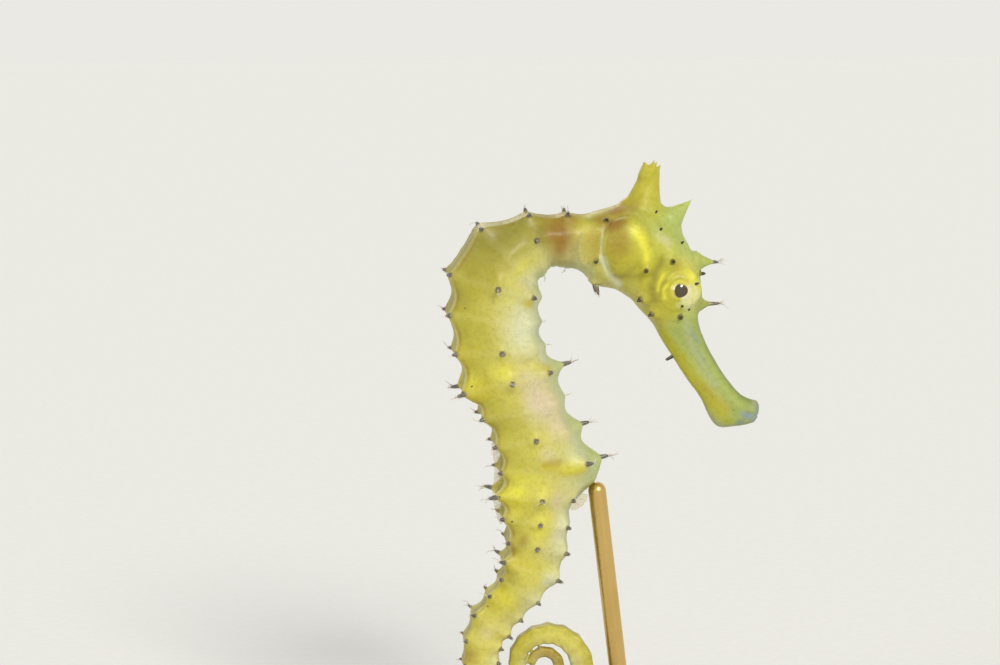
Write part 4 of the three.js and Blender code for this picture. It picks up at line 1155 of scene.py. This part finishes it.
def wet_eye():
    """A live eye under a clear cornea: dark pupil, yellow iris, creamy in front, which is partly a painted
    highlight, and white behind.
    """
    material, tree, shader = new_material(
        "wet_eye", Roughness=0.15, IOR=1.38, Coat_Weight=0.8, Coat_Roughness=0.03
    )
    outward = add_node(tree, "ShaderNodeAttribute", attribute_name="outward").outputs["Fac"]
    turn = add_node(tree, "ShaderNodeAttribute", attribute_name="turn").outputs["Vector"]
    fibres = add_node(tree, "ShaderNodeTexNoise", {"Vector": turn, "Scale": 16, "Detail": 3}).outputs["Fac"]
    clouds = add_node(tree, "ShaderNodeTexNoise", {"Vector": turn, "Scale": 2.5, "Detail": 2}).outputs["Fac"]
    shift = add_node(tree, "ShaderNodeMath", {0: fibres, 1: 0.03, 2: -0.015}, operation="MULTIPLY_ADD")
    position = add_node(tree, "ShaderNodeMath", {0: outward, 1: shift.outputs[0]}, operation="ADD").outputs[0]
    stops = [
        (0.0, "#4c402a"), (0.3, "#443824"), (0.35, "#5d5128"), (0.37, "#b5a83f"), (0.43, "#d2c944"),
        (0.52, "#dad347"), (0.62, "#cfc83e"), (0.82, "#c9c244"), (1.0, "#a39d30"),
    ]  # fmt: skip
    colour = add_node(tree, "ShaderNodeValToRGB", {"Fac": position}, stops).outputs["Color"]
    outside_pupil = {"Value": position, "From Min": 0.35, "From Max": 0.375}
    iris = add_node(tree, "ShaderNodeMapRange", outside_pupil).outputs["Result"]
    front = add_node(
        tree, "ShaderNodeVectorMath", {0: turn, 1: (0.88, -0.47, 0)}, operation="DOT_PRODUCT"
    ).outputs["Value"]
    uneven = add_node(tree, "ShaderNodeMath", {0: clouds, 1: 0.7, 2: -0.35}, operation="MULTIPLY_ADD")
    front = add_node(tree, "ShaderNodeMath", {0: front, 1: uneven.outputs[0]}, operation="ADD").outputs[0]
    # Two pale parts: from where to where they grow towards the front, how strong they are and their
    # colour. The creamy front part is partly a painted highlight.
    layers = []
    for start, end, strength, hue in ((0.2, 0.85, 0.95, "#eee8b8"), (-0.72, -0.98, 0.9, "#f4f1d8")):
        reach = {"Value": front, "From Min": start, "From Max": end, "To Max": strength}
        part = add_node(tree, "ShaderNodeMapRange", reach, interpolation_type="SMOOTHSTEP").outputs["Result"]
        if start < 0:  # only a narrow crescent beside the pupil
            near = add_node(tree, "ShaderNodeMapRange", {"Value": position, "From Min": 0.5, "From Max": 0.4})
            beside = {0: part, 1: near.outputs["Result"]}
            part = add_node(tree, "ShaderNodeMath", beside, operation="MULTIPLY").outputs[0]
        part = add_node(tree, "ShaderNodeMath", {0: part, 1: iris}, operation="MULTIPLY").outputs[0]
        layers.append((part, hue))
    threads = add_node(
        tree, "ShaderNodeMapRange", {"Value": fibres, "From Min": 0.35, "From Max": 0.65, "To Max": 0.22}
    )
    threads = add_node(tree, "ShaderNodeMath", {0: threads.outputs["Result"], 1: iris}, operation="MULTIPLY")
    for amount, hue in (*layers, (threads.outputs[0], "#b3a53c")):
        under_over = {"Factor": amount, 6: colour, 7: linear(hue)}
        colour = add_node(tree, "ShaderNodeMix", under_over, data_type="RGBA").outputs[2]
    tree.links.new(colour, shader.inputs["Base Color"])
    return material


def fin_membrane():
    """Fin skin stretched between rays: thin, clear, faintly yellow and finely creased."""
    material, tree, shader = new_material(
        "fin_membrane", Roughness=0.3, IOR=1.36, Subsurface_Weight=0.3, Subsurface_Scale=0.0004
    )
    place = add_node(tree, "ShaderNodeTexCoord").outputs["Object"]
    out = add_node(tree, "ShaderNodeAttribute", attribute_name="out").outputs["Fac"]
    clouds = add_node(tree, "ShaderNodeTexNoise", {"Vector": place, "Scale": 1500, "Detail": 3})
    stops = [(0.0, "#c6b44c"), (0.5, "#cdbf5e"), (0.8, "#d6cc84"), (0.93, "#b39d54"), (1.0, "#94803c")]
    ramp = add_node(tree, "ShaderNodeValToRGB", {"Fac": out}, stops)
    tree.links.new(ramp.outputs["Color"], shader.inputs["Base Color"])
    cloudy = add_node(
        tree,
        "ShaderNodeMapRange",
        {"Value": clouds.outputs["Fac"], "From Min": 0.3, "From Max": 0.7, "To Min": 0.18, "To Max": 0.32},
    )
    tree.links.new(cloudy.outputs["Result"], shader.inputs["Alpha"])
    crease = add_node(
        tree, "ShaderNodeBump", {"Strength": 0.3, "Distance": 0.00005, "Height": clouds.outputs["Fac"]}
    )
    tree.links.new(crease.outputs["Normal"], shader.inputs["Normal"])
    return material


def fin_ray():
    """Fin rays: slim, jointed, half clear and a little yellower than the skin between them."""
    material, tree, shader = new_material("fin_ray", Roughness=0.4, IOR=1.4, Alpha=0.45)
    grown = add_node(tree, "ShaderNodeAttribute", attribute_name="grown").outputs["Fac"]
    joints = add_node(tree, "ShaderNodeMath", {0: grown, 1: 55.0}, operation="MULTIPLY")
    wave = add_node(tree, "ShaderNodeMath", {0: joints.outputs[0]}, operation="SINE")
    stops = [(0.2, "#d2c56a"), (0.9, "#cbbc60")]
    ramp = add_node(tree, "ShaderNodeValToRGB", {"Fac": wave.outputs[0]}, stops)
    tree.links.new(ramp.outputs["Color"], shader.inputs["Base Color"])
    return material


def oiled_walnut():
    """Oiled walnut, turned and sanded: brown with darker year rings, short pores, low sheen."""
    material, tree, shader = new_material(
        "oiled_walnut", Roughness=0.45, IOR=1.5, Coat_Weight=0.15, Coat_Roughness=0.3
    )
    place = add_node(tree, "ShaderNodeTexCoord").outputs["Object"]
    # The board is cut beside the heart of the tree, and its grain runs along X. Year rings are
    # about 3 mm apart.
    board = add_node(
        tree, "ShaderNodeMapping", {"Vector": place, "Location": (0.0, 0.031, 0.052), "Scale": (0.12, 1, 1)}
    )
    warp = add_node(tree, "ShaderNodeTexNoise", {"Vector": board.outputs["Vector"], "Scale": 60, "Detail": 3})
    bent = add_node(
        tree,
        "ShaderNodeMix",
        {"Factor": 0.012, 4: board.outputs["Vector"], 5: warp.outputs["Color"]},
        data_type="VECTOR",
    )
    years = add_node(
        tree,
        "ShaderNodeTexWave",
        {"Vector": bent.outputs[1], "Scale": 95, "Distortion": 1.4, "Detail": 2, "Detail Scale": 2},
        wave_type="RINGS",
        rings_direction="X",
    )
    stops = [(0.0, "#4a3020"), (0.45, "#6b482f"), (0.8, "#7d5738"), (1.0, "#553722")]
    wood = add_node(tree, "ShaderNodeValToRGB", {"Fac": years.outputs["Fac"]}, stops)
    # Open pores, a fifth of a millimetre wide and 3 mm long, are darker than the wood.
    streaks = add_node(tree, "ShaderNodeMapping", {"Vector": place, "Scale": (0.06, 1, 1)})
    pores = add_node(
        tree, "ShaderNodeTexNoise", {"Vector": streaks.outputs["Vector"], "Scale": 5200, "Detail": 2}
    )
    deep = add_node(
        tree,
        "ShaderNodeMapRange",
        {"Value": pores.outputs["Fac"], "From Min": 0.6, "From Max": 0.7, "To Max": 0.75},
    )
    under_over = {"Factor": deep.outputs["Result"], 6: wood.outputs["Color"], 7: linear("#2e1c12")}
    mixed = add_node(tree, "ShaderNodeMix", under_over, data_type="RGBA")
    tree.links.new(mixed.outputs[2], shader.inputs["Base Color"])
    bump = add_node(
        tree,
        "ShaderNodeBump",
        {"Strength": 0.25, "Distance": 0.00008, "Height": deep.outputs["Result"]},
        invert=True,
    )
    tree.links.new(bump.outputs["Normal"], shader.inputs["Normal"])
    return material


def satin_brass():
    """Brass rod drawn through a die and rubbed down: warm, even metal with faint lines along it."""
    material, tree, shader = new_material("satin_brass", Metallic=1.0, Roughness=0.3)
    place = add_node(tree, "ShaderNodeTexCoord").outputs["Object"]
    # The lines that the die leaves are a tenth of a millimetre wide and run up the rods.
    lines = add_node(tree, "ShaderNodeMapping", {"Vector": place, "Scale": (1, 1, 0.03)})
    drawn = add_node(
        tree, "ShaderNodeTexNoise", {"Vector": lines.outputs["Vector"], "Scale": 9000, "Detail": 2}
    )
    clouds = add_node(tree, "ShaderNodeTexNoise", {"Vector": place, "Scale": 220, "Detail": 3})
    stops = [(0.3, "#cfae66"), (0.7, "#dabb76")]
    ramp = add_node(tree, "ShaderNodeValToRGB", {"Fac": clouds.outputs["Fac"]}, stops)
    tree.links.new(ramp.outputs["Color"], shader.inputs["Base Color"])
    rough = add_node(
        tree,
        "ShaderNodeMapRange",
        {"Value": drawn.outputs["Fac"], "From Min": 0.3, "From Max": 0.7, "To Min": 0.24, "To Max": 0.36},
    )
    tree.links.new(rough.outputs["Result"], shader.inputs["Roughness"])
    return material


SKIN, HORN, SHEATH, THREAD = moist_skin(), dark_horn(), clear_sheath(), skin_thread()
EYEBALL, MEMBRANE, RAY = wet_eye(), fin_membrane(), fin_ray()
WALNUT, BRASS = oiled_walnut(), satin_brass()

# ---- finishing a piece -----------------------------------------------------------------------

FLESH_NODES = [
    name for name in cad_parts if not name.startswith(("eye_", "stand_")) and "fin" not in name
]


def finish_piece(name, mesh, material, stands_for=()):
    """Puts a mesh, already in metres and in place, into the model."""
    mesh.materials.clear()
    mesh.materials.append(material)
    for polygon in mesh.polygons:
        polygon.use_smooth = True
    piece = add_object(name, mesh)
    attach(piece, "root")
    if stands_for:
        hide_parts(*stands_for)
    return piece


finish_piece("seahorse_skin", skin_mesh, SKIN, FLESH_NODES)

# ---- growths: spines, sheaths, threads and fin rays -------------------------------------------


def growth_tree():
    """Grows a tapering, rounded, perhaps curling rod from each point of a mesh."""
    tree = bpy.data.node_groups.new("growths", "GeometryNodeTree")
    sockets = [
        ("Roots", "NodeSocketGeometry", None),
        ("Steps", "NodeSocketInt", 7),
        ("Sides", "NodeSocketInt", 7),
        ("Tip share", "NodeSocketFloat", 0.5),
        ("Curl", "NodeSocketFloat", 0.0),
        ("Curl size", "NodeSocketFloat", 1.0),
        ("Material", "NodeSocketMaterial", None),
    ]
    for name, kind, value in sockets:
        socket = tree.interface.new_socket(name, in_out="INPUT", socket_type=kind)
        if value is not None:
            socket.default_value = value
    tree.interface.new_socket("Growths", in_out="OUTPUT", socket_type="NodeSocketGeometry")
    given = add_node(tree, "NodeGroupInput").outputs
    direction = add_node(
        tree, "GeometryNodeInputNamedAttribute", {"Name": "direction"}, data_type="FLOAT_VECTOR"
    )
    length = add_node(tree, "GeometryNodeInputNamedAttribute", {"Name": "length"})
    width = add_node(tree, "GeometryNodeInputNamedAttribute", {"Name": "width"})
    line = add_node(tree, "GeometryNodeCurvePrimitiveLine", {"Start": (0, 0, 0), "End": (0, 0, 1)})
    fine = add_node(tree, "GeometryNodeResampleCurve", {"Curve": line.outputs[0], "Count": given["Steps"]})
    facing = add_node(tree, "FunctionNodeAlignRotationToVector", {"Vector": direction.outputs[0]}, axis="Z")
    stretch = add_node(
        tree,
        "ShaderNodeCombineXYZ",
        {"X": length.outputs[0], "Y": length.outputs[0], "Z": length.outputs[0]},
    )
    grown = add_node(
        tree,
        "GeometryNodeInstanceOnPoints",
        {
            "Points": given["Roots"],
            "Instance": fine.outputs[0],
            "Rotation": facing.outputs[0],
            "Scale": stretch.outputs[0],
        },
    )
    real = add_node(tree, "GeometryNodeRealizeInstances", {"Geometry": grown.outputs[0]})
    part = add_node(tree, "GeometryNodeSplineParameter").outputs["Factor"]
    # The curl grows along a growth. A noise in the growth's own place gives its way.
    position = add_node(tree, "GeometryNodeInputPosition").outputs[0]
    noise = add_node(
        tree, "ShaderNodeTexNoise", {"Vector": position, "Scale": given["Curl size"], "Detail": 0}
    )
    centred = add_node(
        tree, "ShaderNodeVectorMath", {0: noise.outputs["Color"], 1: (0.5, 0.5, 0.5)}, operation="SUBTRACT"
    )
    late = add_node(tree, "ShaderNodeMath", {0: part, 1: 1.3}, operation="POWER")
    amount = add_node(tree, "ShaderNodeMath", {0: late.outputs[0], 1: given["Curl"]}, operation="MULTIPLY")
    offset = add_node(
        tree, "ShaderNodeVectorMath", {0: centred.outputs[0], "Scale": amount.outputs[0]}, operation="SCALE"
    )
    curled = add_node(
        tree, "GeometryNodeSetPosition", {"Geometry": real.outputs[0], "Offset": offset.outputs[0]}
    )
    # Radius: a straight taper to the tip's share, rounded off at the very end.
    taper = add_node(tree, "ShaderNodeMapRange", {"Value": part, "To Min": 1.0, "To Max": given["Tip share"]})
    steep = add_node(tree, "ShaderNodeMath", {0: part, 1: 7.0}, operation="POWER")
    left_over = add_node(tree, "ShaderNodeMath", {0: 1.0, 1: steep.outputs[0]}, operation="SUBTRACT")
    rounded = add_node(tree, "ShaderNodeMath", {0: left_over.outputs[0], 1: 0.5}, operation="POWER")
    shape = add_node(
        tree, "ShaderNodeMath", {0: taper.outputs[0], 1: rounded.outputs[0]}, operation="MULTIPLY"
    )
    radius = add_node(
        tree, "ShaderNodeMath", {0: shape.outputs[0], 1: width.outputs[0]}, operation="MULTIPLY"
    )
    thick = add_node(
        tree, "GeometryNodeSetCurveRadius", {"Curve": curled.outputs[0], "Radius": radius.outputs[0]}
    )
    marked = add_node(
        tree,
        "GeometryNodeStoreNamedAttribute",
        {"Geometry": thick.outputs[0], "Name": "grown", "Value": part},
        domain="POINT",
    )
    ring = add_node(tree, "GeometryNodeCurvePrimitiveCircle", {"Resolution": given["Sides"], "Radius": 1.0})
    rod = add_node(
        tree,
        "GeometryNodeCurveToMesh",
        {
            "Curve": marked.outputs[0],
            "Profile Curve": ring.outputs[0],
            "Scale": radius.outputs[0],
            "Fill Caps": True,
        },
    )
    whole = add_node(tree, "GeometryNodeRealizeInstances", {"Geometry": rod.outputs[0]})
    finished = add_node(
        tree, "GeometryNodeSetMaterial", {"Geometry": whole.outputs[0], "Material": given["Material"]}
    )
    add_node(tree, "NodeGroupOutput", {"Growths": finished.outputs[0]})
    return tree


GROWTHS = growth_tree()


def grow(name, roots, slot, material, stands_for=(), **inputs):
    """A piece of growths. Each root is a point, a direction, a length and a radius, all in mm."""
    points = np.array([root[0] for root in roots]) * MM
    carrier = bpy.data.meshes.new(name)
    carrier.from_pydata(points.tolist(), [], [])
    facing = carrier.attributes.new("direction", "FLOAT_VECTOR", "POINT")
    facing.data.foreach_set("vector", np.array([root[1] for root in roots], np.float32).reshape(-1))
    for column, attribute in ((2, "length"), (3, "width")):
        set_attribute(carrier, attribute, [root[column] * MM for root in roots])
    holder = add_object(name + "_roots", carrier)
    modifier = holder.modifiers.new("growths", "NODES")
    modifier.node_group = GROWTHS
    identifiers = {
        item.name: item.identifier for item in GROWTHS.interface.items_tree if item.in_out == "INPUT"
    }
    for socket, value in {**inputs, "Material": material}.items():
        modifier[identifiers[socket.replace("_", " ")]] = value
    mesh = evaluated_mesh(holder)
    bpy.data.objects.remove(holder)
    return finish_piece(name, mesh, material, stands_for)


# Spines too small to show in the outline, some only a dark spot: place, angle from the back and
# length.
TINY_SPINES = [
    (9.5, 174, 0.8), (21.3, 19, 0.45), (20.5, 38, 0.3), (18.7, 27, 0.35), (15.6, 36, 0.4),
    (14.0, 80, 0.45), (13.3, 66, 0.3), (2.0, 120.6, 0.03), (2.6, 97, 0.0), (37.3, 42, 0.0),
    (46.7, 36, 0.1), (55.2, 76, 0.0), (62.4, 40, 0.1),
]  # fmt: skip
# Shares of a ring spine's length: where its dark core and its sheath start, and how long they are.
CORE_START, CORE_SHARE, SHEATH_START, SHEATH_SHARE = 0.2, 0.68, 0.25, 0.8
TINY_SPINE_SUNK = 0.3
THREAD_RADIUS, RAY_RADIUS = 0.045, 0.03


def spine_roots():
    """Roots of the dark cores and of the clear sheaths."""
    cores, sheaths = [], []
    for foot, tip, length, ring, row in ring_spines():
        axis, way = tip - foot, (tip - foot).normalized()
        if row == KEEL and length < 0.5:
            sheaths.append((foot, way, 0.5, 0.13))
            continue
        size = (0.22 + 0.04 * length) * (1 - 0.3 * ease(ring, 12, 21))
        cores.append((foot + axis * CORE_START, way, axis.length * CORE_SHARE, size))
        sheaths.append((foot + axis * SHEATH_START, way, axis.length * SHEATH_SHARE, size * 1.12))
    for foot, tip, _, flesh in single_spines():
        axis, way = tip - foot, (tip - foot).normalized()
        share = flesh * 0.7
        size = 0.22 if axis.length > 0.8 else 0.24
        cores.append((foot + axis * share, way, axis.length * (0.88 - share), size))
        if axis.length > 1.2:
            sheaths.append((foot + axis * share, way, axis.length * (1.03 - share), 0.26))
    for at, degrees, length in TINY_SPINES:
        for hand in (1, -1):
            angle = math.radians(degrees) * hand
            foot = surface(np.array([[at]]), np.array([[angle]]))[0, 0]
            upward = frame_at(at)[2]
            way = Vector(upward * math.cos(angle) + np.array([0, 1, 0]) * math.sin(angle))
            size = 0.17 if length > 0.2 else 0.11
            cores.append((Vector(foot) - way * TINY_SPINE_SUNK, way, length + 0.33, size))
    return cores, sheaths


cores, sheaths = spine_roots()
grow("spine_cores", cores, "skin", HORN, Steps=8, Sides=10, Tip_share=0.5)
grow("spine_sheaths", sheaths, "skin", SHEATH, Steps=8, Sides=10, Tip_share=0.66)


def thread_roots():
    """Threads that stream from the tips of the longer spines."""
    random = np.random.default_rng(9)
    threads = []
    tips = [
        (tip, tip - foot, length)
        for foot, tip, length, _, row in ring_spines()
        if row in (BACK, KEEL) or length > 1.2
    ]
    tips += [(tip, tip - foot, 1.2) for foot, tip, _, flesh in single_spines() if flesh > 0.45]
    for tip, axis, length in tips:
        for _ in range(3 if length > 1 else 1):
            way = axis.normalized() + Vector(random.normal(0, 0.45, 3))
            reach = random.uniform(0.5, 1.0) * min(1.4, length + 0.2)
            root = tip - axis * random.uniform(0.1, 0.4)
            threads.append((root, way.normalized(), reach, THREAD_RADIUS))
    return threads


threads = {"Steps": 9, "Sides": 5, "Tip_share": 0.5, "Curl": 1.1 * MM, "Curl_size": 1400.0}
grow("skin_threads", thread_roots(), "skin", THREAD, **threads)

# ---- eyes ------------------------------------------------------------------------------------


def eye_mesh(hand):
    """An eyeball with rings of points that crowd towards the pupil, and a slightly raised cornea."""
    centre = point_at(EYE["at"], hand * EYE["side"], EYE["above"])
    rows, sides = 40, 64
    polar = math.pi * (np.arange(rows) / (rows - 1)) ** 1.5
    turn = np.linspace(0, 2 * math.pi, sides, endpoint=False)
    polar, turn = np.meshgrid(np.maximum(polar, 0.002), turn, indexing="ij")
    radius = EYE["radius"] * (1 + 0.02 * np.exp(-((polar / 0.45) ** 2)))
    local = np.stack(
        [np.sin(polar) * np.cos(turn), hand * np.cos(polar), -hand * np.sin(polar) * np.sin(turn)],
        -1,
    )
    points = centre + local * radius[..., None]
    mesh = make_mesh("eye", points.reshape(-1, 3) * MM, tube_faces(rows, sides))
    # The pupil comes to a blunt point in front. The way round is (forward, up) in both eyes.
    pointed = 1 + 0.05 * np.cos(turn) + 0.05 * np.cos(3 * turn)
    set_attribute(mesh, "outward", (polar * EYE["radius"] / 1.9 / pointed).reshape(-1))
    spokes = mesh.attributes.new("turn", "FLOAT_VECTOR", "POINT")
    values = np.stack([np.cos(turn), -hand * np.sin(turn), polar * 0.15], -1)
    spokes.data.foreach_set("vector", values.astype(np.float32).reshape(-1))
    return mesh


for side_name, hand in (("left", 1), ("right", -1)):
    finish_piece(f"eyeball_{side_name}", eye_mesh(hand), EYEBALL, [f"eye_{side_name}"])

# ---- fins ------------------------------------------------------------------------------------

DORSAL_FIN = {"start": 53.4, "end": 62.6, "height": 0.6, "rake": 0.7, "root": 0.5, "rays": 17}
ANAL_FIN = {"start": 59.5, "end": 60.6, "height": 1.1, "rake": 0.5, "root": 0.4, "rays": 4}
PECTORAL_FIN = {
    "at": 25.2, "above": -0.5, "base": 2.7, "length": 2.5, "spread": 1.3, "flare": 24, "rays": 15,
}  # fmt: skip


def median_strip(fin, way, count):
    """Foot and tip points along a fin of the back (way 1) or the keel (way -1)."""
    t = np.linspace(0, 1, count)
    s = fin["start"] + (fin["end"] - fin["start"]) * t
    size = section_size(s)[0 if way > 0 else 1]
    rise = fin["height"] * np.sqrt(np.clip(np.sin(np.pi * (0.12 + 0.88 * t)), 0, 1))
    foot = point_at(s, np.zeros_like(s), way * (size - fin["root"]))
    tip = point_at(s, np.zeros_like(s), way * (size + rise))
    return foot, tip + frame_at(s)[1] * (fin["rake"] * t)[:, None]


def pectoral_strip(hand, count):
    """Foot and tip points across the fin behind a gill cover, which flares away from the neck."""
    fin = PECTORAL_FIN
    _, forward, upward = frame_at(fin["at"])
    half = float(section_size(fin["at"])[2])
    middle = point_at(fin["at"], hand * (half + 0.22), fin["above"])
    flare = math.radians(fin["flare"])
    reach = forward * math.cos(flare) + np.array([0, hand * math.sin(flare), 0])
    t = np.linspace(-1, 1, count)[:, None]
    foot = middle + upward * t * fin["base"] / 2
    tip = foot + reach * fin["length"] * np.sqrt(1 - 0.55 * t**2) + upward * t * fin["spread"] / 2
    return foot, tip


def membrane_mesh(name, foot, tip, thickness, rays, margin):
    """A sheet between two lines of points, scalloped at its edge and swelling at each ray."""
    columns, rows = len(foot), 12
    across = np.cross(tip - foot, np.gradient(foot, axis=0))
    across /= np.linalg.norm(across, axis=1, keepdims=True)
    ray_wave = np.cos(np.linspace(0, 1, columns) * 2 * np.pi * (rays - 1))
    layers = []
    for way in (1, -1):
        for r in range(rows):
            t = (r if way > 0 else rows - 1 - r) / (rows - 1)
            scallop = 1 - 0.025 * (1 - ray_wave) * t
            middle = foot + (tip - foot) * (t * scallop)[:, None]
            thick = thickness * (0.5 + 0.12 * ray_wave) * (1 - 0.75 * t)
            layers.append(middle + across * (way * thick / 2)[:, None])
    grid = np.array(layers)
    mesh = make_mesh(name, grid.transpose(1, 0, 2).reshape(-1, 3) * MM, tube_faces(columns, 2 * rows))
    out = np.array([(r if r < rows else 2 * rows - 1 - r) / (rows - 1) for r in range(2 * rows)])
    set_attribute(mesh, "out", np.tile(out * margin, columns))
    return mesh


def ray_roots(foot, tip):
    """A ray from each foot point that stops just short of the fin's edge."""
    return [
        (f, Vector(t - f).normalized(), float(np.linalg.norm(t - f)) * 0.97, RAY_RADIUS)
        for f, t in zip(foot, tip)
    ]


def add_fin(name, strip, rays, thickness, margin, node):
    """A fin. The margin is 1 where its edge is dark and less where it is pale."""
    foot, tip = strip(rays * 8 - 7)
    mesh = membrane_mesh(name, foot, tip, thickness, rays, margin)
    finish_piece(name, mesh, MEMBRANE, [node])
    roots = ray_roots(*strip(rays))
    grow(name + "_rays", roots, "fin", RAY, Steps=8, Sides=6, Tip_share=0.35)


for name, fin, way, margin in (("dorsal", DORSAL_FIN, 1, 0.86), ("anal", ANAL_FIN, -1, 0.8)):
    strip = functools.partial(median_strip, fin, way)
    add_fin(f"{name}_membrane", strip, fin["rays"], 0.2, margin, f"{name}_fin")
for name, hand in (("left", 1), ("right", -1)):
    strip = functools.partial(pectoral_strip, hand)
    node = f"pectoral_fin_{name}"
    add_fin(f"pectoral_membrane_{name}", strip, PECTORAL_FIN["rays"], 0.16, 0.75, node)

# ---- stand -----------------------------------------------------------------------------------

# Each rod's foot on the base and its tip, and the profile of its collar: radius and height.
BELLY_ROD = ((5.2, 0, 4.0), (1.73, 0, 32.67))
TAIL_ROD = ((-3.3, 0, 4.0), (-3.3, 0, 7.37))
ROD_RADIUS, ROD_SIDES = 0.9, 48
COLLAR = [
    (0.01, 0), (1.9, 0), (2.0, 0.1), (2.0, 0.55), (1.85, 0.7), (1.85, 0.8), (1.72, 1.0), (1.4, 1.3),
    (1.0, 1.4), (0.01, 1.4),
]  # fmt: skip


def base_mesh():
    """The turned base: a flat underside, a small bead round its foot and a soft upper edge."""
    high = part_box("stand_base")[1]
    radius, height = high.x / MM, high.z / MM
    bead, bead_steps, edge, edge_steps, sides = 0.75, 8, 1.0, 10, 160
    profile = [(0.01, 0), (radius - 0.9, 0)]
    for i in range(bead_steps + 1):
        turn = math.pi * (i / bead_steps - 0.5)
        profile.append((radius - bead + bead * math.cos(turn), bead + bead * math.sin(turn)))
    profile.append((radius - 0.95, 1.62))
    for i in range(edge_steps + 1):
        turn = math.pi / 2 * i / edge_steps
        profile.append((radius - 2.1 + edge * math.cos(turn), height - edge + edge * math.sin(turn)))
    profile += [(radius - 6, height), (radius / 2, height), (0.01, height)]
    return turned_mesh("base", [(r * MM, h * MM) for r, h in profile], (0, 0, 0), (0, 0, 1), sides)


def rod_mesh(foot, tip):
    """A rod with a rounded tip in a turned collar."""
    foot, tip = Vector(foot), Vector(tip)
    length = (tip - foot).length
    lengths, tip_steps = 6, 8
    profile = [(0.01, 0.02), (ROD_RADIUS, 0.02)]
    profile += [(ROD_RADIUS, length * i / lengths - ROD_RADIUS) for i in range(1, lengths + 1)]
    for i in range(1, tip_steps + 1):
        turn = math.pi / 2 * i / tip_steps
        rounded = max(0.01, ROD_RADIUS * math.cos(turn))
        profile.append((rounded, length - ROD_RADIUS + ROD_RADIUS * math.sin(turn)))
    rod = turned_points(profile, foot, tip, ROD_SIDES)
    collar = turned_points(COLLAR, foot, foot + Vector((0, 0, 1)), ROD_SIDES)
    for point in rod:  # its slanting foot ends level, inside the collar
        point.z = max(point.z, foot.z + 0.01)
    faces = tube_faces(len(profile), ROD_SIDES)
    faces += [[v + len(rod) for v in face] for face in tube_faces(len(COLLAR), ROD_SIDES)]
    return make_mesh("rod", [point * MM for point in rod + collar], faces)


finish_piece("display_base", base_mesh(), WALNUT, ["stand_base"])
finish_piece("belly_rod", rod_mesh(*BELLY_ROD), BRASS, ["stand_rod_belly"])
finish_piece("tail_rod", rod_mesh(*TAIL_ROD), BRASS, ["stand_rod_tail"])

# ---- studio ----------------------------------------------------------------------------------


def add_floor():
    """A matt floor, 4 metres across."""
    material, tree, shader = new_material("pale_floor", Roughness=0.9, Specular_IOR_Level=0.0)
    place = add_node(tree, "ShaderNodeTexCoord").outputs["Object"]
    fleece = add_node(tree, "ShaderNodeTexNoise", {"Vector": place, "Scale": 900, "Detail": 2})
    stops = [(0.3, "#f8f8f5"), (0.7, "#fbfbf8")]
    ramp = add_node(tree, "ShaderNodeValToRGB", {"Fac": fleece.outputs["Fac"]}, stops)
    tree.links.new(ramp.outputs["Color"], shader.inputs["Base Color"])
    mesh = make_mesh("floor", [(-2, -2, 0), (2, -2, 0), (2, 2, 0), (-2, 2, 0)], [(0, 1, 2, 3)])
    floor = add_object("floor", mesh, material)


def add_lamp(name, place, softness, strength, colour="#ffffff"):
    """A distant soft lamp that shines from the side of a place. Softness is its width in degrees."""
    lamp = bpy.data.objects.new(name, bpy.data.lights.new(name, "SUN"))
    lamp.data.angle, lamp.data.energy, lamp.data.color = math.radians(softness), strength, linear(colour)[:3]
    lamp.location = Vector(place) * MM
    lamp.rotation_mode = "QUATERNION"
    lamp.rotation_quaternion = (-Vector(place)).to_track_quat("-Z", "Y")
    bpy.context.collection.objects.link(lamp)


def add_world():
    """Soft light from all sides. The pale backdrop is what cameras and reflections see."""
    world = bpy.data.worlds.new("studio")
    world.use_nodes = True
    tree = world.node_tree
    sky = tree.nodes["Background"]
    sky.inputs["Color"].default_value, sky.inputs["Strength"].default_value = linear("#f4f6f8"), 0.4
    seen = add_node(tree, "ShaderNodeBackground", {"Color": linear("#ebe9e3"), "Strength": 1.0})
    rays = add_node(tree, "ShaderNodeLightPath").outputs
    share = rays["Is Camera Ray"]
    for ray in ("Is Glossy Ray", "Is Transmission Ray"):
        share = add_node(tree, "ShaderNodeMath", {0: share, 1: rays[ray]}, operation="ADD").outputs[0]
    mixed = add_node(tree, "ShaderNodeMixShader", {0: share, 1: sky.outputs[0], 2: seen.outputs[0]})
    tree.links.new(mixed.outputs[0], tree.nodes["World Output"].inputs["Surface"])
    bpy.context.scene.world = world


add_floor()
add_world()
add_lamp("key", (75, -240, 160), 20, 1.85, "#fffbf2")
add_lamp("fill", (-220, -150, 75), 30, 0.5, "#f3f7ff")
add_lamp("rim", (-60, 220, 160), 30, 0.85, "#fff7ea")
bpy.context.scene.view_settings.view_transform = "Standard"
